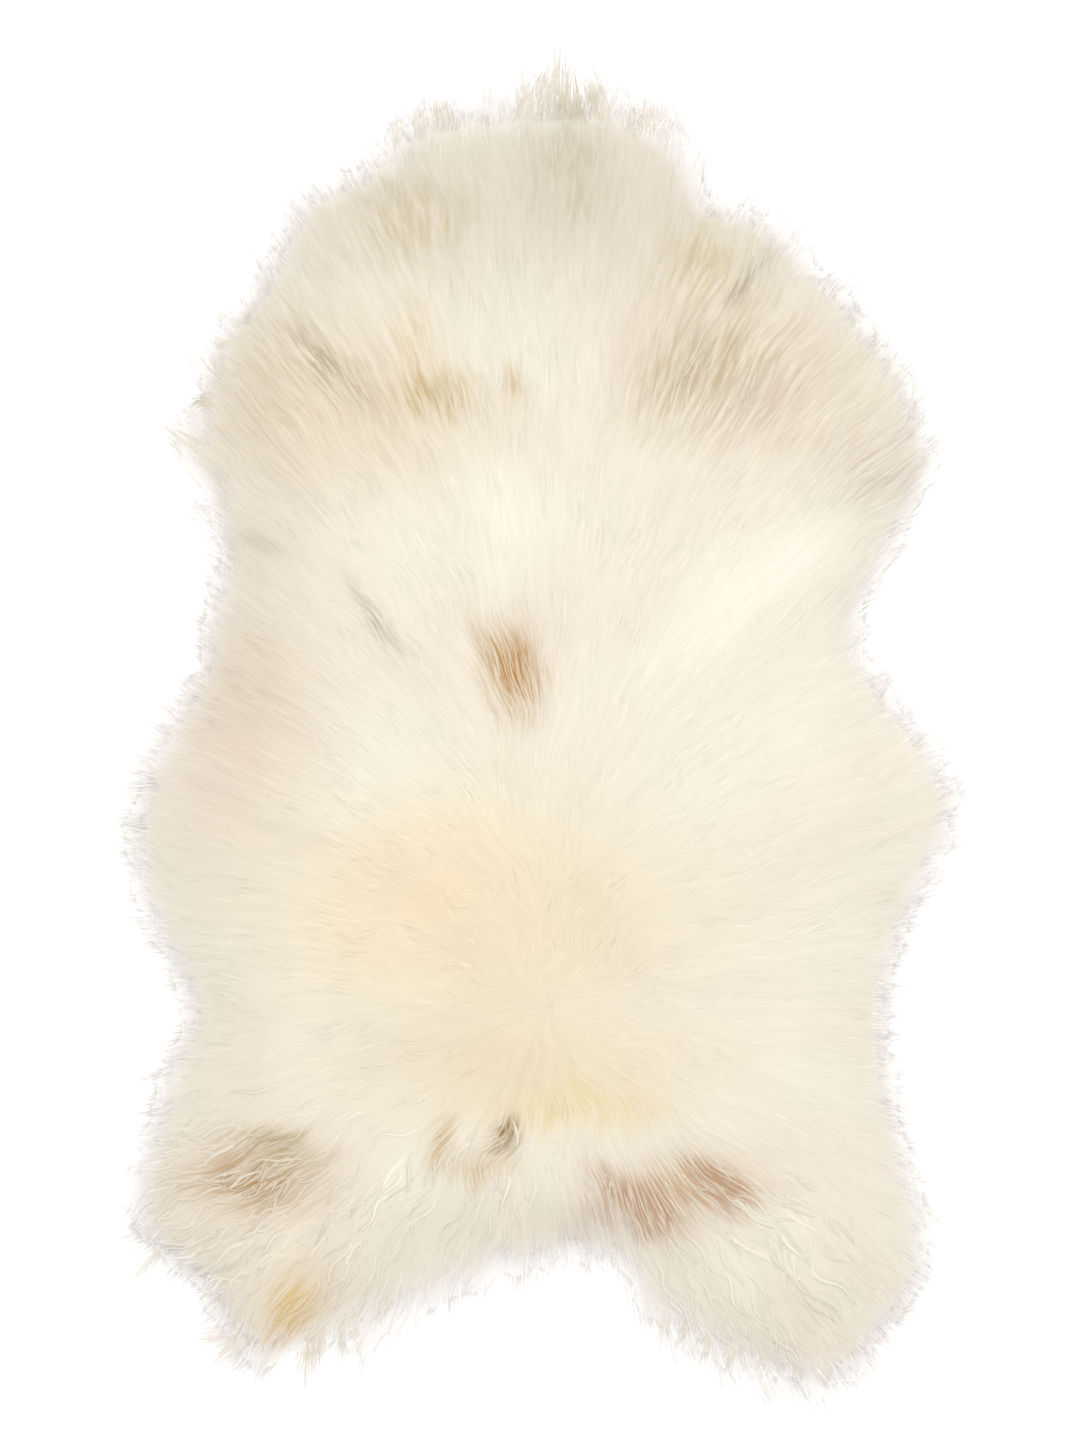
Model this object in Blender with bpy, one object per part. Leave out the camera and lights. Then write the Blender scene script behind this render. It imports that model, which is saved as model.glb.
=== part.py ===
"""A long-wool sheepskin rug that lies flat, wool side up.

Metres, +Z up, +Y towards the neck. The origin is on the floor, under the middle of the box
that the rug fills. There are two pieces: the tanned hide, and the fleece that grows on it,
a lumpy slab of wool with loose locks round its rim.
"""

import math
import random
from collections import namedtuple

import bmesh
import bpy
import numpy as np
from mathutils import Euler, Vector, noise
from mathutils.geometry import delaunay_2d_cdt

MM = 0.001

# Thicknesses and heights
HIDE_THICKNESS = 2.0 * MM
PIECE_GAP = 0.3 * MM
PILE_HEIGHT = 54 * MM  # top of the wool above the floor, away from the rim
RIM_HEIGHT = 6 * MM  # top of the wool at the rim
RIM_SLOPE = 95 * MM  # how far in from the rim the wool reaches its full height

# Spacing of points
EDGE_STEP = 14 * MM
TOP_STEP = 20 * MM

# Locks round the rim
LOCK_PITCH = 16 * MM
LOCK_WIDTH = 15 * MM
LOCK_HEIGHT = 19 * MM  # at its root, inside the slab
LOCK_ROOT = 26 * MM  # how far a lock's root reaches inside the rim
LOCK_SPANS = 4
LOCK_TIP = 0.08  # a tip's width and height, as a share of the root's
LOCK_FULLNESS = 1.9  # how far along a lock keeps its width: 1 is a straight taper
LOCK_TURN = 0.22  # the most that a lock leans off its neighbours' direction, in radians
LOCK_CURL = 0.17  # the most that a lock bends sideways, as a share of its length
LOCK_SEED = 7
LOCK_BATCHES = 5  # the locks of one batch stand clear of each other

# The rim of the wool, clockwise from the neck, in millimetres from the middle of the back:
# across to the right, along towards the neck, how far the locks reach past the rim,
# and how far inside it the hide's edge lies.
Landmark = namedtuple("Landmark", "across along locks hide_inside")
RIM = {
    "neck tip": Landmark(16, 482, 58, 30),
    "neck right": Landmark(66, 480, 34, 30),
    "neck corner": Landmark(110, 454, 30, 30),
    "neck notch": Landmark(127, 412, 22, 24),
    "right cheek": Landmark(170, 397, 26, 24),
    "right neck fold": Landmark(210, 364, 22, 24),
    "above right shoulder": Landmark(268, 300, 20, 26),
    "right shoulder": Landmark(306, 212, 20, 28),
    "below right shoulder": Landmark(282, 150, 18, 24),
    "right waist": Landmark(251, 80, 16, 20),
    "below right waist": Landmark(262, 32, 18, 22),
    "above right flank": Landmark(304, -18, 20, 28),
    "right flank": Landmark(326, -70, 22, 32),
    "below right flank": Landmark(298, -142, 20, 26),
    "right hollow": Landmark(274, -214, 16, 22),
    "right thigh": Landmark(278, -292, 14, 22),
    "right hip": Landmark(300, -390, 14, 24),
    "right hock": Landmark(298, -450, 18, 28),
    "right foot side": Landmark(270, -488, 26, 30),
    "right foot": Landmark(236, -518, 32, 34),
    "right foot inside": Landmark(178, -508, 38, 30),
    "right inseam": Landmark(110, -472, 46, 28),
    "crotch corner": Landmark(88, -432, 34, 24),
    "crotch right": Landmark(46, -418, 26, 24),
    "crotch": Landmark(-2, -421, 30, 24),
    "crotch left": Landmark(-54, -434, 36, 24),
    "left inseam": Landmark(-128, -464, 40, 26),
    "left foot inside": Landmark(-196, -488, 54, 30),
    "left foot": Landmark(-238, -499, 40, 32),
    "left foot side": Landmark(-255, -466, 24, 26),
    "left hock": Landmark(-276, -439, 20, 26),
    "left hip corner": Landmark(-312, -414, 22, 32),
    "left hip": Landmark(-311, -350, 18, 28),
    "left thigh": Landmark(-292, -286, 18, 24),
    "left hollow": Landmark(-275, -228, 18, 22),
    "below left flank": Landmark(-300, -168, 22, 26),
    "left flank": Landmark(-319, -102, 26, 30),
    "above left flank": Landmark(-308, -46, 24, 28),
    "left side": Landmark(-274, 18, 20, 24),
    "below left waist": Landmark(-262, 72, 18, 22),
    "left waist": Landmark(-249, 132, 20, 22),
    "left armpit": Landmark(-262, 204, 34, 24),
    "left shoulder": Landmark(-263, 262, 22, 26),
    "above left shoulder": Landmark(-238, 322, 20, 24),
    "left neck fold": Landmark(-206, 366, 20, 24),
    "left cheek": Landmark(-188, 412, 22, 28),
    "left of the neck": Landmark(-124, 440, 28, 26),
    "neck left": Landmark(-96, 474, 32, 32),
    "neck top": Landmark(-40, 474, 34, 28),
}

# Where the wool parts or lies thin: centre, half-width and depth, in millimetres.
Hollow = namedtuple("Hollow", "across along radius depth")
HOLLOWS = {
    "tan whorl on the back": Hollow(-20, 44, 28, 9),
    "parting under the neck": Hollow(-72, 258, 36, 9),
    "right shoulder parting": Hollow(122, 282, 46, 9),
    "right shoulder edge": Hollow(268, 190, 32, 8),
    "left shoulder parting": Hollow(-164, 276, 36, 7),
    "left side parting": Hollow(-132, 82, 30, 6),
    "tail parting": Hollow(-28, -332, 24, 13),
    "left leg parting": Hollow(-232, -372, 44, 15),
    "right leg parting": Hollow(122, -376, 50, 14),
}

# The wool lies outwards from a whorl low on the back, and spreads wider above it.
WHORL = np.array([8.0, -224.0]) * MM
SPREAD_ABOVE = 1.9
SPREAD_BELOW = 0.9
SPREAD_BLEND = 160 * MM

# Lumps of the pile: how high, how wide, and how many ridges run round the whorl
LUMP_HEIGHT = 7 * MM
LUMP_SIZE = np.array([62.0, 84.0]) * MM
RIDGE_HEIGHT = 6 * MM
RIDGES = 34
RIDGE_LENGTH = 120 * MM

LEATHER = {"colour": (0.72, 0.60, 0.45, 1), "roughness": 0.85}
WOOL = {"colour": (0.88, 0.83, 0.72, 1), "roughness": 0.95}

UP = Vector((0, 0, 1))


def closed_curve(points, step):
    """Points about a step apart on the smooth closed curve through the given ones."""
    before, after = np.roll(points, 1, axis=0), np.roll(points, -1, axis=0)
    beyond = np.roll(points, -2, axis=0)
    share = np.linspace(0, 1, 12, endpoint=False)[:, None, None]
    spans = 0.5 * (
        2 * points
        + (after - before) * share
        + (2 * before - 5 * points + 4 * after - beyond) * share**2
        + (3 * points - before - 3 * after + beyond) * share**3
    )
    line = spans.transpose(1, 0, 2).reshape(-1, points.shape[1])
    line = np.vstack([line, line[:1]])
    sides = np.linalg.norm(np.diff(line[:, :2], axis=0), axis=1)
    length = np.concatenate([[0], np.cumsum(sides)])
    at = np.linspace(0, length[-1], round(length[-1] / step), endpoint=False)
    columns = [np.interp(at, length, line[:, k]) for k in range(line.shape[1])]
    return np.stack(columns, axis=1)


def outward(line):
    """The outward unit normal at each point of a clockwise closed line."""
    along = np.roll(line, -1, axis=0) - np.roll(line, 1, axis=0)
    normal = np.stack([-along[:, 1], along[:, 0]], axis=1)
    return normal / np.linalg.norm(normal, axis=1)[:, None]


def wool_direction(places):
    """The unit direction in which the wool's tips lie at each place."""
    away = places - WHORL
    above = 1 / (1 + np.exp(-away[:, 1] / SPREAD_BLEND * 4))
    away[:, 0] *= SPREAD_BELOW + (SPREAD_ABOVE - SPREAD_BELOW) * above
    return away / np.maximum(np.linalg.norm(away, axis=1), 1e-6)[:, None]


def inside(places, line):
    """Which places lie inside the closed line."""
    x, y = places[:, None, 0], places[:, None, 1]
    x0, y0 = line[:, 0], line[:, 1]
    x1, y1 = np.roll(x0, -1), np.roll(y0, -1)
    crosses = (y0 > y) != (y1 > y)
    at = x0 + (y - y0) * (x1 - x0) / np.where(y1 == y0, 1, y1 - y0)
    return (crosses & (x < at)).sum(axis=1) % 2 == 1


def distance_to(places, line):
    """How far each place is from the closed line."""
    start = line[None]
    side = np.roll(line, -1, axis=0)[None] - start
    offset = places[:, None] - start
    share = np.clip((offset * side).sum(2) / (side**2).sum(2), 0, 1)
    return np.linalg.norm(offset - share[..., None] * side, axis=2).min(axis=1)


def wool_top(places, rim):
    """The height of the fleece's upper surface at each place."""
    share = np.clip(distance_to(places, rim) / RIM_SLOPE, 0, 1)
    fullness = np.sin(share * math.pi / 2)
    height = RIM_HEIGHT + (PILE_HEIGHT - RIM_HEIGHT) * fullness
    for hollow in HOLLOWS.values():
        centre = np.array([hollow.across, hollow.along]) * MM
        away = np.linalg.norm(places - centre, axis=1) / (hollow.radius * MM)
        height -= hollow.depth * MM * np.exp(-(away**2)) * fullness
    for i, (x, y) in enumerate(places):
        dx, dy = x - WHORL[0], y - WHORL[1]
        turn = math.atan2(dy, dx) * RIDGES / math.tau
        reach = math.hypot(dx, dy) / RIDGE_LENGTH
        lump = noise.noise(Vector((x / LUMP_SIZE[0], y / LUMP_SIZE[1], 0)))
        ridge = noise.noise(Vector((turn, reach, 1.5)))
        height[i] += (LUMP_HEIGHT * lump + RIDGE_HEIGHT * ridge) * 2 * fullness[i]
    return height


def hexagonal_grid(low, high, step):
    """Evenly spread places that fill a rectangle."""
    places = []
    row_height = step * math.sqrt(0.75)
    for row in range(int((high[1] - low[1]) / row_height) + 1):
        shift = step / 2 * (row % 2)
        for column in range(int((high[0] - low[0]) / step) + 1):
            places.append((low[0] + column * step + shift, low[1] + row * row_height))
    return np.array(places)


def material(name, look):
    made = bpy.data.materials.new(name)
    made.use_nodes = True
    shader = made.node_tree.nodes["Principled BSDF"]
    shader.inputs["Base Color"].default_value = look["colour"]
    shader.inputs["Roughness"].default_value = look["roughness"]
    shader.inputs["Metallic"].default_value = 0
    made.diffuse_color = look["colour"]
    return made


def mesh_object(name, build, collection):
    """A new object whose mesh is what build makes of an empty bmesh."""
    mesh = bpy.data.meshes.new(name)
    shape = bmesh.new()
    build(shape)
    shape.to_mesh(mesh)
    shape.free()
    made = bpy.data.objects.new(name, mesh)
    collection.objects.link(made)
    return made


def flat_sheet(name, edge, bottom, top, collection):
    """A flat sheet cut to an outline, between two heights."""
    outline = bpy.data.curves.new(name, "CURVE")
    outline.dimensions = "2D"
    outline.fill_mode = "BOTH"
    outline.extrude = (top - bottom) / 2
    spline = outline.splines.new("POLY")
    spline.points.add(len(edge) - 1)
    for point, (x, y) in zip(spline.points, edge):
        point.co = (x, y, 0, 1)
    spline.use_cyclic_u = True
    sheet = bpy.data.objects.new(name, outline)
    sheet.location = (0, 0, (top + bottom) / 2)
    collection.objects.link(sheet)
    return sheet


def as_mesh(curve, collection):
    """A mesh object that takes a curve's name and place, its caps welded to its sides."""
    bpy.context.view_layer.update()
    graph = bpy.context.evaluated_depsgraph_get()
    mesh = bpy.data.meshes.new_from_object(curve.evaluated_get(graph))
    shape = bmesh.new()
    shape.from_mesh(mesh)
    bmesh.ops.remove_doubles(shape, verts=shape.verts, dist=1e-6)
    bmesh.ops.recalc_face_normals(shape, faces=shape.faces)
    shape.to_mesh(mesh)
    shape.free()
    name, place = curve.name, curve.matrix_world.copy()
    bpy.data.objects.remove(curve)
    made = bpy.data.objects.new(name, mesh)
    made.matrix_world = place
    collection.objects.link(made)
    return made


def make_hide(edge, collection):
    """The tanned skin: a flat sheet cut to the outline of the animal's hide."""
    hide = flat_sheet("hide", edge, 0, HIDE_THICKNESS, collection)
    hide.data.materials.append(material("tanned leather", LEATHER))
    return hide


def make_fleece(rim, collection):
    """The slab of wool: a lumpy top over a flat foot."""
    low, high = rim.min(axis=0), rim.max(axis=0)
    grid = hexagonal_grid(low, high, TOP_STEP)
    kept = inside(grid, rim) & (distance_to(grid, rim) > TOP_STEP / 2)
    places = [Vector(p) for p in np.vstack([rim, grid[kept]])]
    rim_edges = [(i, (i + 1) % len(rim)) for i in range(len(rim))]
    points, _, faces, _, _, _ = delaunay_2d_cdt(places, rim_edges, [], 1, 1e-7)
    heights = wool_top(np.array([tuple(p) for p in points]), rim)

    def build(shape):
        verts = [shape.verts.new((*place, height)) for place, height in zip(points, heights)]
        for corners in faces:
            shape.faces.new([verts[i] for i in corners])
        border = [edge for edge in shape.edges if edge.is_boundary]
        skirt = bmesh.ops.extrude_edge_only(shape, edges=border)["geom"]
        for vert in of_type(skirt, bmesh.types.BMVert):
            vert.co.z = 0
        foot = [edge for edge in of_type(skirt, bmesh.types.BMEdge) if edge.is_boundary]
        bmesh.ops.triangle_fill(shape, edges=foot, use_beauty=True)
        bmesh.ops.recalc_face_normals(shape, faces=shape.faces)

    fleece = mesh_object("fleece", build, collection)
    fleece.data.materials.append(material("long wool", WOOL))
    return fleece


def of_type(elements, kind):
    return [element for element in elements if isinstance(element, kind)]


def straight_lock(shape):
    """A straight three-sided bar of closed spans, one unit long each."""
    ring = bmesh.ops.create_circle(shape, cap_ends=True, segments=3, radius=1)["verts"]
    cap = ring[0].link_faces[0]
    verts = list(ring)
    for number in range(LOCK_SPANS):
        grown = bmesh.ops.extrude_face_region(shape, geom=[cap], use_keep_orig=True)["geom"]
        if number > 0:
            bmesh.ops.delete(shape, geom=[cap], context="FACES_ONLY")
        cap = of_type(grown, bmesh.types.BMFace)[0]
        ring = of_type(grown, bmesh.types.BMVert)
        bmesh.ops.translate(shape, verts=ring, vec=UP)
        verts += ring
    faces = {face for vert in verts for face in vert.link_faces}
    bmesh.ops.recalc_face_normals(shape, faces=list(faces))
    return verts


def add_lock(shape, root, heading, length, curl, width, height):
    """A lock of wool lying on the floor: three-sided, flat below, tapering to its tip."""
    side = Vector((-heading.y, heading.x, 0))
    for vert in straight_lock(shape):
        share = vert.co.z / LOCK_SPANS
        rise = (vert.co.y + 0.5) / 1.5
        across = vert.co.x / math.sqrt(3)
        taper = 1 - (1 - LOCK_TIP) * share**LOCK_FULLNESS
        bend = curl * length * math.sin(2.4 * share) * share
        vert.co = root + heading * (length * share)
        vert.co += side * (bend + across * width * taper) + UP * (rise * height * taper)


def make_locks(roots, reaches, collection):
    """The loose locks round the rim, in batches whose locks stand clear of each other."""
    chance = random.Random(LOCK_SEED)
    headings = outward(roots) * 1.3 + wool_direction(roots)
    batches = [bmesh.new() for _ in range(LOCK_BATCHES)]
    for number, (place, reach, (east, north)) in enumerate(zip(roots, reaches, headings)):
        heading = Vector((east, north, 0)).normalized()
        heading.rotate(Euler((0, 0, chance.uniform(-LOCK_TURN, LOCK_TURN))))
        add_lock(
            batches[number % LOCK_BATCHES],
            Vector((*place, 0)) - heading * LOCK_ROOT,
            heading,
            LOCK_ROOT + reach * chance.uniform(0.55, 1.25),
            chance.uniform(-LOCK_CURL, LOCK_CURL),
            LOCK_WIDTH * chance.uniform(0.85, 1.15),
            LOCK_HEIGHT * chance.uniform(0.8, 1.15),
        )
    made = []
    for number, shape in enumerate(batches):
        mesh = bpy.data.meshes.new(f"locks {number}")
        shape.to_mesh(mesh)
        shape.free()
        locks = bpy.data.objects.new(mesh.name, mesh)
        collection.objects.link(locks)
        made.append(locks)
    return made


def add_boolean(target, other, operation):
    other.hide_render = True
    other.display_type = "WIRE"
    change = target.modifiers.new(other.name, "BOOLEAN")
    change.operation = operation
    change.solver = "MANIFOLD"  # the exact solver leaves open edges where undersides meet
    change.object = other


def centre_on_origin(*collections):
    """Moves everything so that the origin is under the middle of the rug's box."""
    pieces = [piece for collection in collections for piece in collection.objects]
    meshes = [piece.data for piece in pieces if piece.type == "MESH"]
    places = np.array([tuple(vert.co) for mesh in meshes for vert in mesh.vertices])
    middle = (places.min(axis=0) + places.max(axis=0)) / 2
    whole = bpy.data.objects.new("rug middle", None)
    whole.location = (-middle[0], -middle[1], 0)
    collections[0].objects.link(whole)
    for piece in pieces:
        piece.parent = whole


def main():
    for old in list(bpy.data.objects):
        bpy.data.objects.remove(old)
    rug = bpy.data.collections.new("sheepskin rug")
    cutters = bpy.data.collections.new("cutters")
    for collection in (rug, cutters):
        bpy.context.scene.collection.children.link(collection)

    table = np.array([tuple(mark) for mark in RIM.values()]) * MM
    rim = closed_curve(table, EDGE_STEP)[:, :2]
    roots = closed_curve(table, LOCK_PITCH)
    marks = table[:, :2]
    hide_edge = closed_curve(marks - outward(marks) * table[:, 3:], EDGE_STEP)
    recess_edge = hide_edge + outward(hide_edge) * PIECE_GAP * 1.5

    make_hide(hide_edge, rug)
    fleece = make_fleece(rim, rug)
    for locks in make_locks(roots[:, :2], roots[:, 2], cutters):
        add_boolean(fleece, locks, "UNION")
    recess = flat_sheet("recess", recess_edge, -5 * MM, HIDE_THICKNESS + PIECE_GAP, cutters)
    add_boolean(fleece, as_mesh(recess, cutters), "DIFFERENCE")
    centre_on_origin(rug, cutters)


main()
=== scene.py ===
"""A long-wool sheepskin rug, laid flat with the wool up and seen from straight above.

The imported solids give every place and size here. The hide's solid gives the outline of the
leather. The fleece's solid gives the height of the wool's top and how far the wool reaches.
The wool is a closed mat, with tapered locks and finer hairs that lie on it and are combed
outwards from a whorl low on the back. Places in the tables are millimetres from the middle of
the hide: across to the right, and along towards the neck. Everything else is in metres.
"""

import math
from collections import namedtuple

import bmesh
import bpy
import numpy as np
from bpy.props import (
    EnumProperty,
    FloatProperty,
    FloatVectorProperty,
    PointerProperty,
)
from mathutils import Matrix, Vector
from mathutils.bvhtree import BVHTree
from mathutils.kdtree import KDTree


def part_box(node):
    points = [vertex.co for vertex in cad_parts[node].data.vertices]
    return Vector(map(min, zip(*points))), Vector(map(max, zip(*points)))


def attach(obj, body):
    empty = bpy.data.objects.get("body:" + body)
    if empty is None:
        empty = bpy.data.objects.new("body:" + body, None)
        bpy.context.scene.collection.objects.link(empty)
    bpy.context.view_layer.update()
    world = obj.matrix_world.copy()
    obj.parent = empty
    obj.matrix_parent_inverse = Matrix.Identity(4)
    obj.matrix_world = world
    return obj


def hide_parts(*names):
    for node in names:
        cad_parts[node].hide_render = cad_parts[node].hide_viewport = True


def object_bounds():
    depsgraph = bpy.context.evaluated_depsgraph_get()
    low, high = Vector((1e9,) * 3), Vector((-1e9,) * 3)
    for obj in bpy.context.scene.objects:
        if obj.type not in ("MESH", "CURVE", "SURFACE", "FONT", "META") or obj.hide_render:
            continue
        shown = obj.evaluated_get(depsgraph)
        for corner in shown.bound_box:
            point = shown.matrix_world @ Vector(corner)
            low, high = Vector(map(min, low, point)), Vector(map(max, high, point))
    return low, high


bl_info = {
    "name": "Sheepskin Rug",
    "version": (1, 0, 0),
    "blender": (4, 5, 0),
    "location": "View3D > Sidebar > Sheepskin",
    "description": "Dresses a sheepskin rug's solids with leather, locks of wool and fine hairs",
    "category": "Add Mesh",
}

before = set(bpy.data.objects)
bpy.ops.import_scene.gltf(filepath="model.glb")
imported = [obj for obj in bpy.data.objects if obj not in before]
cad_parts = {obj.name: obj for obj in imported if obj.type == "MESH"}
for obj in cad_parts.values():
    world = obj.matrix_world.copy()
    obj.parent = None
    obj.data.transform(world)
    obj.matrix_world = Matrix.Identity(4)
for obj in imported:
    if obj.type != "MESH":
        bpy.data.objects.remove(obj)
CAD_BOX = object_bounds()
MM = 0.001
UP = np.array([0.0, 0.0, 1.0])

# ---------------------------------------------------------------- places on the rug

HIDE_LOW, HIDE_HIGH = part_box("hide")
HIDE_MIDDLE = np.array((HIDE_LOW + HIDE_HIGH) / 2)[:2]
HIDE_TOP = HIDE_HIGH.z


def place(across, along):
    """The place on the floor that a table gives in millimetres from the middle of the hide."""
    return HIDE_MIDDLE + np.array([across, along]) * MM


# The wool lies outwards from the whorl, and spreads wider above it than below.
WHORL = place(6, -208)
SPREAD_ABOVE = 1.9
SPREAD_BELOW = 0.9
SPREAD_BLEND = 40 * MM
WHORL_RADIUS = 95 * MM  # inside it the wool is short and curls every way

# Zones of the rug, each with its own pieces of wool: where the zone begins, along the rug
ZONES = {
    "neck": 235,
    "shoulder": 75,
    "back": -85,
    "rump": -245,
    "leg": -600,
}

# How the wool grows: places where it is longer than elsewhere, or shorter (below 0), where it
# lies wavier, and where thick curly locks lie over it
Growth = namedtuple("Growth", "across along radius longer wavier curlier")
GROWTHS = {
    "crown": Growth(0, 470, 120, 36, 0.0, 0.0),
    "left leg": Growth(-200, -370, 90, 16, 1.2, 1.0),
    "right leg": Growth(130, -390, 100, 18, 0.8, 0.5),
    "whorl": Growth(6, -180, 110, -34, 3.2, 0.0),
    "tail": Growth(-40, -320, 50, -8, 1.0, 0.5),
}

# Marks in the wool: middle, half-length, half-width, the angle at which the mark lies,
# its colour, how strong it is, and how much of that is left at the tips of the wool
Mark = namedtuple("Mark", "across along long wide lean colour strength tips")

# Broad, soft marks that colour all the wool of a place alike. The highlights are painted
# highlights, and the shoulders and the left flank carry painted shade
SHADES = {
    "yellow back": Mark(-50, -140, 155, 85, 0, "E1CDA6", 0.6, 1.0),
    "yellow rump": Mark(0, -262, 120, 42, 0, "E1CCA2", 0.45, 1.0),
    "warm flank": Mark(-98, -112, 90, 60, 30, "EBD5B6", 0.5, 1.0),
    "neck": Mark(0, 425, 210, 88, 0, "D3C9B9", 0.85, 1.0),
    "withers": Mark(-80, 250, 75, 45, 0, "DCCDB4", 0.45, 1.0),
    # Painted shade: the shoulders darker where the locks shade each other
    "left shoulder": Mark(-180, 270, 90, 75, 0, "DBCAB2", 0.45, 1.0),
    "right shoulder": Mark(150, 290, 100, 75, 0, "D8C9B4", 0.42, 1.0),
    "left leg": Mark(-210, -360, 90, 80, 0, "E0CFB6", 0.25, 1.0),
    # Painted shade: the left flank darker than the right, as under light from the right
    "left flank": Mark(-240, 30, 60, 130, 0, "DBCCB8", 0.48, 1.0),
    # Painted highlights: lighter patches where the light catches the wool
    "left neck highlight": Mark(-34, 170, 50, 24, 95, "F8F3E6", 0.25, 1.0),
    "right side highlight": Mark(206, 144, 50, 24, 40, "F8F3E6", 0.4, 1.0),
    "right back highlight": Mark(126, 88, 60, 28, 50, "F6F1E2", 0.4, 1.0),
}

# Smaller marks, which some strands have and others don't
MARKS = {
    "yellow tail band": Mark(26, -292, 62, 18, 0, "E2CE9C", 0.6, 0.9),
    "tan whorl": Mark(-25, 58, 38, 23, 105, "B48A52", 0.85, 0.45),
    "neck olive spot": Mark(-86, 275, 30, 21, 0, "C2AC7E", 0.62, 0.6),
    "neck tan": Mark(-104, 318, 18, 34, 0, "D9C6A4", 0.5, 0.8),
    "neck brown spot": Mark(-22, 276, 9, 16, 0, "C7AE89", 0.6, 0.6),
    # Painted shade: darker olive-tan strands on the shoulders, in place of the shadows between the
    # locks
    "left shoulder hairs": Mark(-190, 275, 85, 65, 0, "C4AF90", 0.32, 0.6),
    "right shoulder hairs": Mark(165, 292, 90, 60, -30, "BFAD92", 0.36, 0.6),
    "left flank hairs": Mark(-225, 20, 60, 90, 0, "CDBBA2", 0.25, 0.6),
    # Painted shade: darker grey patches and a streak on the right shoulder, in place of the
    # shadows between the locks
    "right shoulder shadow": Mark(124, 294, 60, 34, 35, "C2B294", 0.6, 0.6),
    "right shoulder shadow edge": Mark(182, 272, 46, 24, 45, "D2C2B2", 0.5, 0.8),
    "right shoulder shadow streak": Mark(160, 362, 28, 9, 52, "A89C8A", 0.45, 0.6),
    "right neck olive": Mark(126, 384, 36, 26, 0, "CBBF9F", 0.65, 0.9),
    "crown olive": Mark(22, 447, 46, 34, 90, "C9BFA9", 0.75, 0.9),
    "left neck olive": Mark(-104, 412, 54, 30, 10, "CBBFA2", 0.7, 0.9),
    "right cheek olive": Mark(254, 292, 36, 30, 40, "DAD0B2", 0.25, 0.9),
    "left cheek olive": Mark(-238, 300, 28, 26, 0, "DAD0B4", 0.25, 0.9),
    "right armpit grey": Mark(268, 212, 44, 34, 40, "C8B9A8", 0.5, 0.8),
    # Painted shade: a narrow shadow between the locks on the left shoulder
    "left shoulder shadow": Mark(-166, 292, 46, 13, 135, "A99B80", 0.45, 0.6),
    "left side dark streak": Mark(-134, 98, 32, 7, 125, "B3A792", 0.6, 0.6),
    "left waist streak": Mark(-222, 156, 26, 7, 160, "BDB0A2", 0.35, 0.6),
    "left flank brown": Mark(-250, -16, 40, 32, 90, "E2D0C0", 0.5, 0.9),
    "tail brown": Mark(-30, -316, 12, 11, 60, "9B7A50", 0.85, 0.4),
    "tail left brown": Mark(-82, -320, 22, 9, 70, "BFA276", 0.65, 0.5),
    "tail under brown": Mark(-50, -338, 26, 13, 0, "C6AC84", 0.55, 0.5),
    "right leg tan": Mark(104, -360, 62, 26, 12, "CDB292", 0.75, 0.8),
    "right leg brown": Mark(76, -366, 38, 20, -35, "B8947A", 0.75, 0.4),
    "right leg brown fold": Mark(138, -350, 27, 15, -40, "B08A6C", 0.62, 0.4),
    # Painted shade: darker grey-brown along the notch's edge
    "notch shade": Mark(46, -386, 28, 13, -10, "CDBFB4", 0.6, 0.8),
    "left leg brown": Mark(-228, -346, 50, 27, 0, "B08C60", 0.7, 0.3),
    "left leg olive": Mark(-212, -322, 32, 12, -15, "B9AA86", 0.7, 0.5),
    "left leg tan": Mark(-198, -452, 34, 22, 60, "DCBE88", 0.75, 0.6),
}
MARK_EDGE = 5 * MM  # how raggedly a mark's edge follows the locks
MARK_FALL = 0.9  # how fast a mark gets weaker from its middle
MARK_ROUND = 1.2  # how even it is before that
MARK_TONE = 0.7  # how much stronger or weaker a mark is on one strand than on the next
PINK_ALL = 0.45  # pinkish beige in the cream wool: everywhere, by place, and by strand
PINK_PLACE = 0.3
PINK_STRAND = 0.15
RIM_SHADE_SHARE = 0.85  # how much of the rim's painted shade, a darker pinkish grey, there is along the edge
RIM_SHADE_INSIDE = 0.3  # how far in it starts, as a share of the fleece's fill
TONE = 0.05  # how much lighter or darker one strand is than the next
RIM_FADE = (0.94, 0.22)  # the wool starts and ends to pale where the fleece fills these shares

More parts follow.
